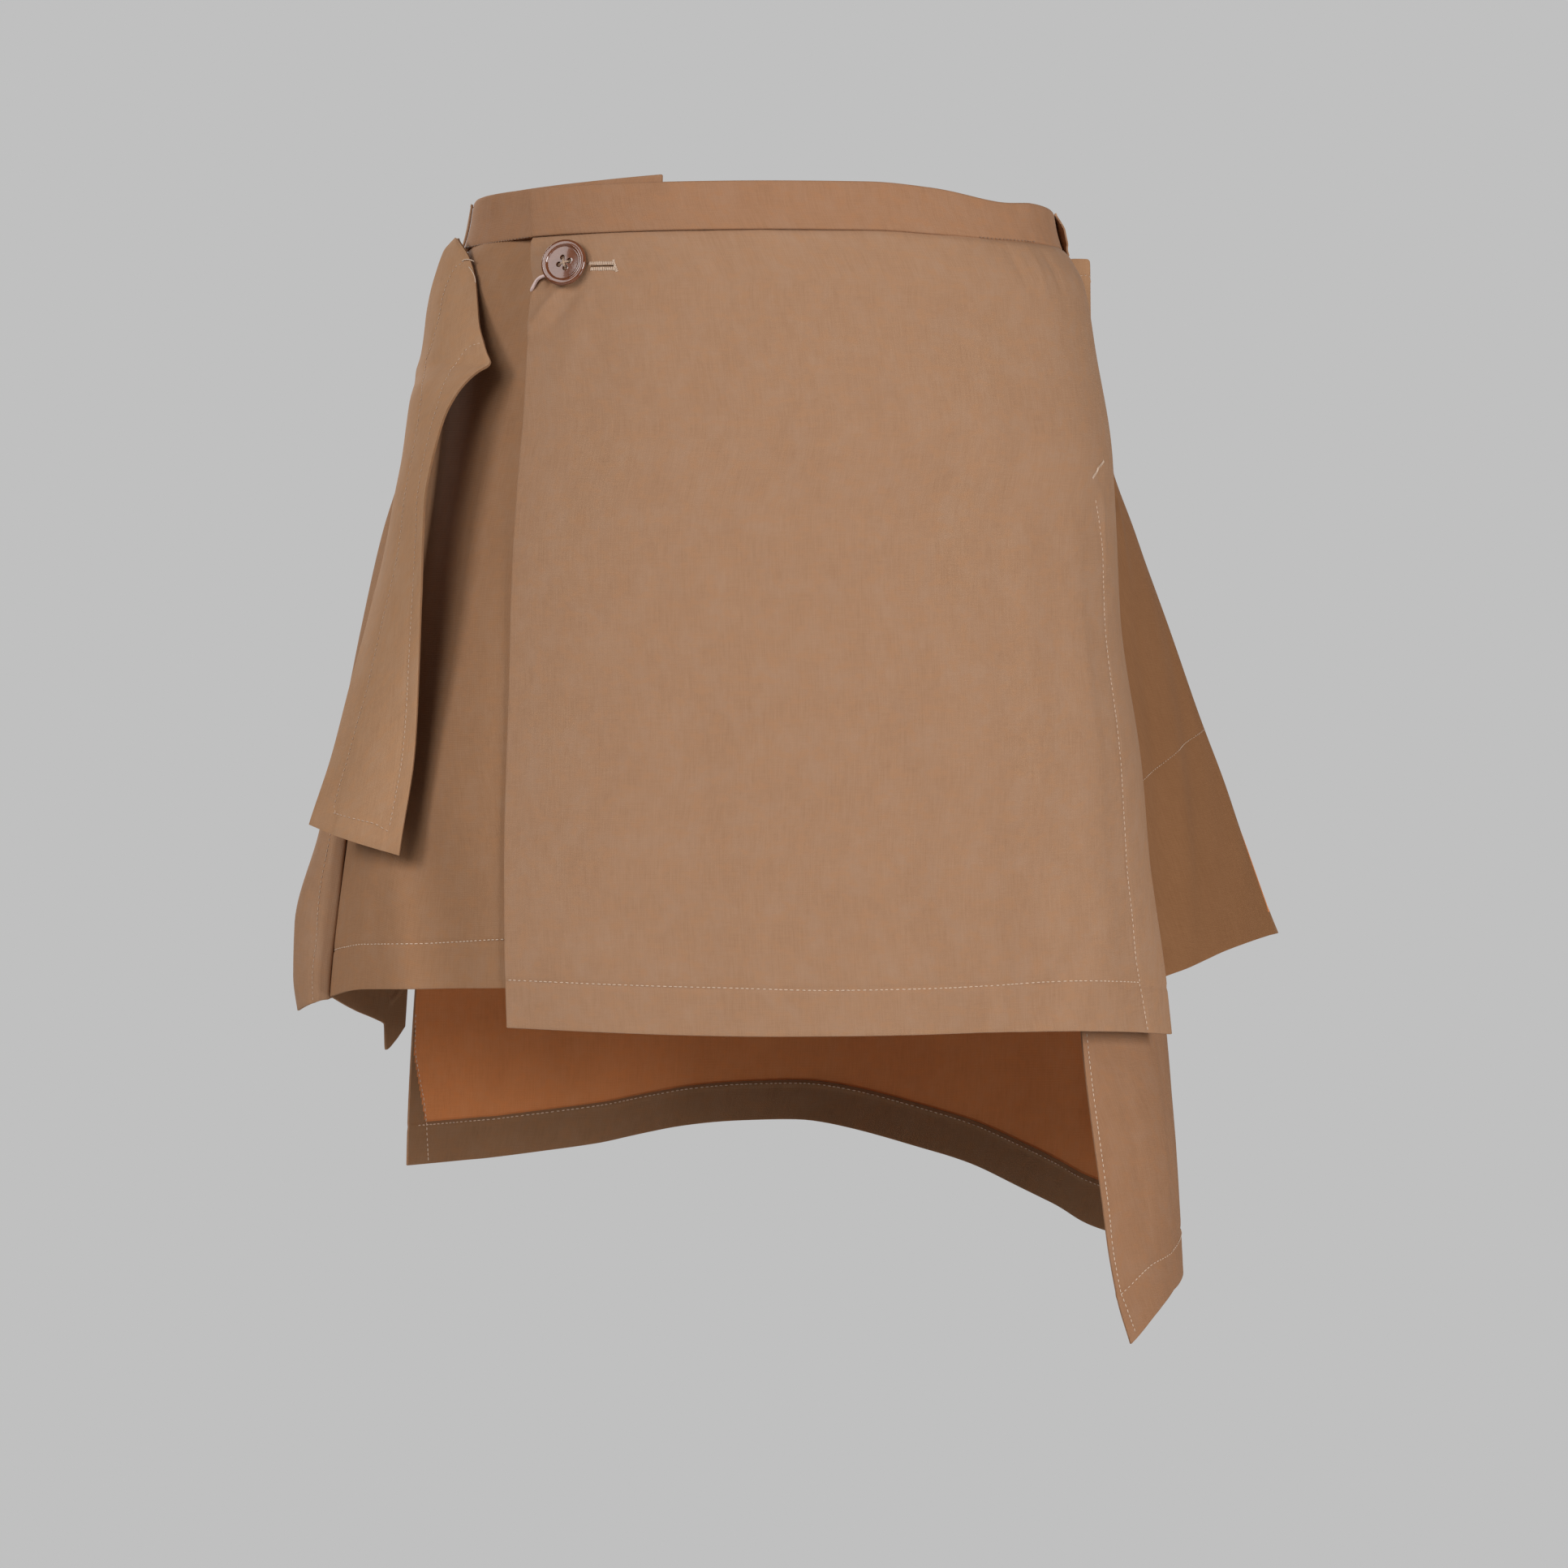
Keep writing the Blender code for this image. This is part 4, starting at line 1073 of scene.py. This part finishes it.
RIGHT_WING_STEP, RIGHT_WING_HEIGHT = 30, 325
RIGHT_WING_CREASES = table(
    CREASE_COLUMNS,
    (0.55, 0.780, 80, 5.0, -6, -1.5),
    (0.95, 0.800, 80, 5.0, -8, 1.4),
    (1.35, 0.720, 80, 5.0, -11, -1.3),
    (1.70, 0.860, 50, 4.5, -13, 1.0),
    (0.75, 0.350, 40, 5.0, 4, 0.8),
    (2.60, 0.700, 70, 7.0, 6, 0.9),
    (3.20, 0.850, 60, 7.0, -4, -0.9),
    (2.30, 0.300, 40, 5.0, 3, -0.6),
)
RIGHT_WING_STITCH = table(
    "across down", (0.05, 0.736), (0.28, 0.730), (0.96, 0.7133), (1.80, 0.694), (1.98, 0.690)
)
RIGHT_WING_TOP_STITCH = table("across down", (0.2, 0.024), (0.8, 0.024), (1.4, 0.024), (1.93, 0.027))
RIGHT_WING_HEM_STITCH = table("across down", (2.05, 0.962), (3.0, 0.962), (3.95, 0.962))


def right_wing_relief(across, down):
    line = np.interp(across, RIGHT_WING_STITCH["across"], RIGHT_WING_STITCH["down"])
    sewn = sewn_line((down - line) * RIGHT_WING_HEIGHT, 1.4) * (across < 2)
    size = 0.35 * np.minimum(1, 4 * down)
    return worked(RIGHT_WING_CREASES, across, down, RIGHT_WING_STEP, RIGHT_WING_HEIGHT, size, 5.2, sewn)


right_wing_form = Form(place_right_wing, right_wing_relief)
# Its outer face has painted light and shade, its inner face the bright orange wool painted as light shining
# through, its hems inside the darker wool painted as shade.
right_wing = cloth(
    "right_wing_cloth",
    right_wing_form,
    stations((0, 1.8, 52), (1.8, 2.2, 18), (2.2, 4, 52)),
    stations((0, 0.04, 10), (0.04, 0.66, 66), (0.66, 0.75, 30), (0.75, 1, 30)),
    1.2,
    lambda across, down: ((down > 0.96) | (down < 0.028)).astype(float),
    wool_inside_painted_through_light,
    outer=wool_drape_painted_light_and_shade,
)
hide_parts("right_wing")
sew(
    "right_wing_stitches", right_wing_form, [RIGHT_WING_STITCH, RIGHT_WING_TOP_STITCH, RIGHT_WING_HEM_STITCH],
    finish=thread_dull,
)

# The tab at the left hip: a narrow strip with hems turned in and topstitched all round. It hangs from two
# thread tacks under the band, bends back sharply at its corner and falls as a soft tube down the hip.
LEFT_FLAP = table(
    "section back_drop back_angle back_out front_drop front_angle front_out bow",
    (0, 6.0, -82.6, 7.4, 6.6, -81.2, 7.0, 0.0),
    (1, 8.8, -82.7, 9.2, 11.5, -75.3, 5.4, 0.6),
    (2, 13.3, -82.6, 11.2, 17.4, -71.2, 2.6, 1.6),
    (3, 27.9, -82.3, 11.4, 27.0, -66.6, 0.9, 3.0),
    (4, 39.0, -82.0, 11.0, 38.5, -61.7, 2.8, 5.0),
    (5, 49.5, -81.6, 10.6, 50.2, -57.5, 5.2, 6.5),
    (6, 60.0, -81.2, 10.5, 62.3, -52.8, 7.6, 7.5),
    (7, 65.5, -81.0, 10.7, 68.2, -50.5, 9.3, 8.0),
    (8, 69.0, -80.9, 10.9, 71.5, -51.3, 12.4, 8.0),
    (9, 73.5, -80.7, 11.0, 75.8, -52.3, 15.6, 8.0),
    (10, 80.0, -80.4, 10.9, 81.5, -53.2, 19.0, 7.6),
    (11, 92.0, -80.0, 10.3, 92.1, -54.1, 21.9, 7.0),
    (12, 108.0, -79.1, 10.2, 108.0, -54.4, 23.6, 6.0),
    (13, 127.0, -78.0, 10.8, 126.0, -54.7, 24.3, 5.0),
    (14, 150.0, -76.7, 11.0, 147.0, -54.1, 22.9, 4.5),
    (15, 178.0, -75.4, 13.2, 174.4, -53.3, 19.6, 5.0),
    (16, 210.6, -73.8, 16.7, 206.0, -53.1, 15.0, 5.5),
    (17, 243.0, -72.7, 19.2, 243.0, -53.4, 9.2, 6.0),
    (18, 275.6, -71.8, 24.9, 289.3, -55.4, 4.4, 5.0),
)


def place_flap(across, section):
    back_drop, front_drop = (read(LEFT_FLAP, edge + "_drop", section) for edge in ("back", "front"))
    back = round_point(LEFT_FLAP, "back", section, back_drop)
    along = round_point(LEFT_FLAP, "front", section, front_drop) - back
    bow = read(LEFT_FLAP, "bow", section) * np.sin(pi * across)
    return back + along * across + beside(along) * bow, back_drop + (front_drop - back_drop) * across


FLAP_STITCH_LEFT = table(
    "down across", (2.1, 0.860), (2.3, 0.795), (2.5, 0.625), (2.85, 0.52), (3.45, 0.465), (4.4, 0.455),
    (5.45, 0.38), (6.55, 0.27), (8.0, 0.36), (10.35, 0.60), (11.25, 0.65), (12.5, 0.67), (14.05, 0.61),
    (15.2, 0.49), (16.2, 0.42), (16.7, 0.34), (17.65, 0.26), (17.75, 0.30),
)
FLAP_STITCH_RIGHT = table(
    "down across", (5.65, 0.975), (5.75, 0.88), (6.15, 0.785), (7.25, 0.705), (8.85, 0.775), (10.2, 0.835),
    (10.6, 0.86), (12.5, 0.88), (14.0, 0.89), (16.55, 0.90), (17.75, 0.88),
)
FLAP_STITCH_BOTTOM = table("down across", (17.75, 0.26), (17.75, 0.71), (17.8, 0.88))


def flap_relief(across, section):
    left = np.interp(section, FLAP_STITCH_LEFT["down"], FLAP_STITCH_LEFT["across"])
    right = np.interp(section, FLAP_STITCH_RIGHT["down"], FLAP_STITCH_RIGHT["across"])
    width = np.interp(section, (0, 3, 7, 11, 18), (4, 30, 60, 55, 55))
    sewn = sewn_line((across - left) * width) + sewn_line((across - right) * width) * (section > 5.6)
    return sewn + 0.25 * np.sin(section * 1.9 + across * 4) * np.minimum(1, section / 4)


flap_form = Form(place_flap, flap_relief)
# Its outer face is the lighter wool painted as light, its inner face and rims the darker hem wool painted as
# shade.
left_flap = cloth(
    "left_flap_cloth",
    flap_form,
    np.linspace(0, 1, 46),
    stations((0, 7, 50), (7, 11, 34), (11, 18, 60)),
    1.1,
    lining=wool_hem_painted_shade,
    outer=wool_tab_painted_light,
    rim_finish=1,
)
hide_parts("left_flap")
FLAP_STITCHES = [FLAP_STITCH_LEFT, FLAP_STITCH_RIGHT, FLAP_STITCH_BOTTOM]
sew("left_flap_stitches", flap_form, FLAP_STITCHES, finish=thread_dull)

# The belt loops: narrow folded straps of the same wool that bridge the band at each hip, tacked at both ends.
BELT_LOOP_RIGHT = table(
    "along drop out", (0, -4.8, 1.4), (1, -3.6, 1.9), (2, -0.5, 3.5), (3, 3.3, 4.7), (4, 8.6, 4.5),
    (5, 12.0, 3.2), (6, 14.8, 1.8),
)
BELT_LOOP_LEFT = table(
    "along drop out", (0, -10.2, 1.5), (1, -9.2, 2.0), (2, -5.0, 2.6), (3, 1.0, 3.1), (4, 7.0, 3.3),
    (5, 11.5, 3.2), (6, 14.6, 2.8),
)


LOOP_WIDTH = 8.0


def belt_loop(node, angle, rows, nearer):
    """A belt loop at an angle; its edge on the `nearer` side (-1 or 1) lies close to the band."""
    side = 1 if angle > 0 else -1

    def place(across, along):
        drop = read(rows, "drop", along)
        width = side * LOOP_WIDTH * (across - 0.5)
        lean_in = np.clip(0.5 + nearer * width / LOOP_WIDTH, 0, 1)
        lift = read(rows, "out", along)
        close = 1.3 + 1.3 * (angle < 0) * np.clip((drop + 11) / BAND_HEIGHT, 0, 1)
        middle = ring(np.full_like(drop, angle), drop, lift - (lift - close) * lean_in)
        return np.stack([middle[0], middle[1] + width]), drop

    form = Form(place, lambda across, along: 0.2 * (1 - (2 * across - 1) ** 4))
    strap = cloth(node + "_cloth", form, np.linspace(0, 1, 12), stations((0, 6, 44)), 0.9, rim=0.4)
    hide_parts(node)
    tacks = [table("across down", (0.1, end), (0.9, end)) for end in (0.35, 5.6)]
    sew(node + "_cloth_tacks", form, tacks, pitch=0.7, length=1.2, width=0.4, across_line=True)


belt_loop("belt_loop_left", -90.0, BELT_LOOP_LEFT, -1)
belt_loop("belt_loop_right", 88.0, BELT_LOOP_RIGHT, 1)

# The button: a turned brown disc with a raised rim, a dished middle and four holes, sewn on with dull cream
# thread through all holes. It lies on the outer panel just below the band.
BUTTON_PROFILE = table(
    "point radius height",
    (0, 0.0, 1.75),
    (1, 3.0, 1.79),
    (2, 6.6, 1.93),
    (3, 7.4, 1.97),
    (4, 7.8, 2.45),
    (5, 8.4, 2.92),
    (6, 9.5, 2.96),
    (7, 10.3, 2.55),
    (8, 10.7, 1.7),
    (9, 10.1, 0.8),
    (10, 7.6, 0.0),
    (11, 0.0, 0.0),
)


def plain_panel_point(angle, drop, off):
    """A point and its facing on the outer panel's plain form, where the button sits."""
    def at(a, d):
        out = read(OVERLAP_OUT, "out", a)
        plan = ring(a, d, out)
        return Vector((float(plan[0]), float(plan[1]), -float(d)))
    round_it = at(angle + 1, drop) - at(angle - 1, drop)
    round_it.z = 0
    up_it = at(angle, drop - 3) - at(angle, drop + 3)
    facing = round_it.cross(up_it).normalized()
    return at(angle, drop) + facing * off, facing


def select_only(piece):
    bpy.ops.object.select_all(action="DESELECT")
    piece.select_set(True)
    bpy.context.view_layer.objects.active = piece


button_middle, button_facing = plain_panel_point(-37.7, 25.0, 2.0)
button_facing.rotate(Euler((0, 0, radians(9.3))))
button_turn = button_facing.to_track_quat("Z", "Y").to_matrix()

HOLE_TURN, HOLE_CIRCLE, HOLE_RADIUS = 18.0, 2.5, 1.25


def hole_place(hole):
    """The middle of one of the four holes, in mm from the button's own middle."""
    turn = radians(HOLE_TURN + 90 * hole)
    return HOLE_CIRCLE * cos(turn), HOLE_CIRCLE * sin(turn)


profile = bpy.data.meshes.new("button_disc")
rows = np.linspace(0, 11, 67)
points = [(read(BUTTON_PROFILE, "radius", r) * MM, 0, read(BUTTON_PROFILE, "height", r) * MM) for r in rows]
profile.from_pydata([tuple(map(float, p)) for p in points], [(i, i + 1) for i in range(len(points) - 1)], [])
button = bpy.data.objects.new("button_disc", profile)
bpy.context.scene.collection.objects.link(button)
turned = button.modifiers.new("turned", "SCREW")
turned.steps = turned.render_steps = 72
turned.use_merge_vertices = True
turned.merge_threshold = 0.00002
holes = []
for hole in range(4):
    x, y = hole_place(hole)
    bpy.ops.mesh.primitive_cylinder_add(
        vertices=28, radius=HOLE_RADIUS * MM, depth=9 * MM, location=(x * MM, y * MM, 0)
    )
    holes.append(bpy.context.object)
    cut = button.modifiers.new("hole", "BOOLEAN")
    cut.object = holes[-1]
select_only(button)
for modifier in list(button.modifiers):
    bpy.ops.object.modifier_apply(modifier=modifier.name)
softened = button.modifiers.new("soft edges", "BEVEL")
softened.width = 0.18 * MM
softened.segments = 2
softened.angle_limit = radians(45)
bpy.ops.object.modifier_apply(modifier="soft edges")
for cutter in holes:
    bpy.data.objects.remove(cutter)
button.data.transform(button_turn.to_4x4())
button.data.transform(Matrix.Translation(button_middle * MM))
button.data.shade_smooth()
bpy.ops.object.shade_smooth_by_angle(angle=radians(40))
outward(button)

button_brown, add, shader = new_finish("glossy brown button")
clouds = add("TexNoise", Vector=add("TexCoord")["Object"], Scale=160.0, Detail=4.0, Distortion=1.2)["Fac"]
brown = tinted(add, clouds, (0.12, 0.034, 0.014), (0.21, 0.072, 0.031))
join(shader, Base_Color=brown, Roughness=0.1, Coat_Weight=0.6, Coat_Roughness=0.03)
button.data.materials.append(button_brown)
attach(button, "root")
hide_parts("button")


CAP_GAP = 0.000004


def thread(name, points, radius, finish, sides=2):
    """A round thread or cord through points in mm, closed at its ends."""
    curve = bpy.data.curves.new(name, "CURVE")
    curve.dimensions = "3D"
    curve.bevel_depth = radius * MM
    curve.bevel_resolution = sides
    curve.use_fill_caps = True
    line = curve.splines.new("NURBS")
    line.points.add(len(points) - 1)
    for place, point in zip(line.points, points):
        place.co = (*(np.array(point) * MM), 1)
    line.order_u = 3
    line.use_endpoint_u = True
    line.resolution_u = 6
    piece = bpy.data.objects.new(name, curve)
    bpy.context.scene.collection.objects.link(piece)
    select_only(piece)
    bpy.ops.object.convert(target="MESH")
    piece = bpy.context.object
    piece.data.materials.clear()
    piece.data.materials.append(finish)
    outward(piece, merged=CAP_GAP)
    piece.data.shade_smooth()
    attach(piece, "root")
    return piece


def on_button(x, y, height):
    """A place on the button, from its own middle, in mm."""
    return tuple(button_middle + button_turn @ Vector((x, y, height)))


# Two strands cross from hole to hole each way. Each dips into the hole (0 or 1) at both of its ends.
strands = [(first, shift) for first in (0, 1) for shift in (-0.24, 0.24)]
for number, (first, shift) in enumerate(strands, 1):
    ends = [hole_place(first), hole_place(first + 2)]
    (x0, y0), (x1, y1) = ends
    nx, ny = -(y1 - y0) / 5 * shift, (x1 - x0) / 5 * shift
    lift = 2.05 + 0.22 * first
    steps = [(0, 0.85, 0.4), (0, 0.74, 1.75), (0, 0.45, lift), (0, 0, lift + 0.1)]
    steps += [(1, 0.45, lift), (1, 0.74, 1.75), (1, 0.85, 0.4)]
    strand = [
        on_button(ends[end][0] * share + nx, ends[end][1] * share + ny, height) for end, share, height in steps
    ]
    thread(f"button_thread_{number}", strand, 0.2, thread_dull)
for hole in range(4):
    x, y = hole_place(hole)
    filling = [on_button(x, y, 0.1), on_button(x, y, 0.9)]
    thread(f"button_thread_in_hole_{hole + 1}", filling, 1.0, thread_tan, 5)

# The buttonhole beside the button: a cut slit with close whip stitches along both lips and a bar tack at its
# end.
bpy.ops.object.select_all(action="DESELECT")
slit_start, slit_end = overlap_form.point(0.101, 0.0412), overlap_form.point(0.1345, 0.0418)
slit_facing = Vector(overlap_form.facing(np.array(0.118), np.array(0.0415)))
slit_middle = Vector((slit_start + slit_end) / 2)
slit_along = Vector(slit_end - slit_start)
bpy.ops.mesh.primitive_cube_add(size=1)
slit = bpy.context.object
slit.name = "buttonhole_cutter"
SLIT_WIDTH = 1.2
across_slit = slit_facing.cross(slit_along).normalized()
for vert in slit.data.vertices:
    x, y, z = vert.co
    pinch = 1 - abs(x) * 1.2
    vert.co = (slit_middle + slit_along * x + across_slit * y * SLIT_WIDTH * pinch + slit_facing * z * 7) * MM
outward(slit)
cut = front_overlap.modifiers.new("slit", "BOOLEAN")
cut.object = slit
select_only(front_overlap)
bpy.ops.object.modifier_apply(modifier="slit")
bpy.data.objects.remove(slit)
lips = [table("across down", (0.099, 0.0412 + step), (0.135, 0.0418 + step)) for step in (-0.0036, 0.0036)]
sew(
    "buttonhole_stitches", overlap_form, lips, pitch=0.62, length=1.9, width=0.5, across_line=True, lift=0.12
)
sew(
    "buttonhole_tack", overlap_form, [table("across down", (0.1365, 0.0340), (0.1365, 0.0493))],
    pitch=0.55, length=1.5, width=0.5, across_line=True, lift=0.2,
)

# The button loop: a thin pinkish cord from under the button round the outer panel's left edge.
BUTTON_LOOP = table(
    "point angle drop off",
    (0, -40.6, 29.4, 1.5),
    (1, -41.9, 29.7, 1.5),
    (2, -43.1, 30.3, 1.4),
    (3, -43.9, 31.4, 1.3),
    (4, -44.4, 33.0, 1.2),
    (5, -44.9, 34.6, 0.8),
    (6, -45.6, 35.6, -0.5),
)
cord_pink = thread_finish("pink cord", (0.86, 0.64, 0.59))
loop_points = [
    tuple(plain_panel_point(*(float(read(BUTTON_LOOP, column, at)) for column in ("angle", "drop", "off")))[0])
    for at in np.linspace(0, 6, 15)
]
button_loop = thread("button_loop_cord", loop_points, 0.75, cord_pink, 4)
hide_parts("button_loop")

# The thread tacks: two loose loops of cream thread that hold the tab to the band's corner.
def tab_tack(name, *places):
    """A thread through (across, section, off) places on the tab."""
    thread(name, [tuple(flap_form.point(*place)) for place in places], 0.22, thread_cream)


tab_tack("tab_tack_upper", (0.78, 2.25, 0.1), (0.95, 2.05, 1.3), (1.1, 2.2, 0.3))
tab_tack("tab_tack_lower", (0.93, 2.5, 0.2), (1.04, 2.85, 1.2), (1.0, 3.25, 0.2))
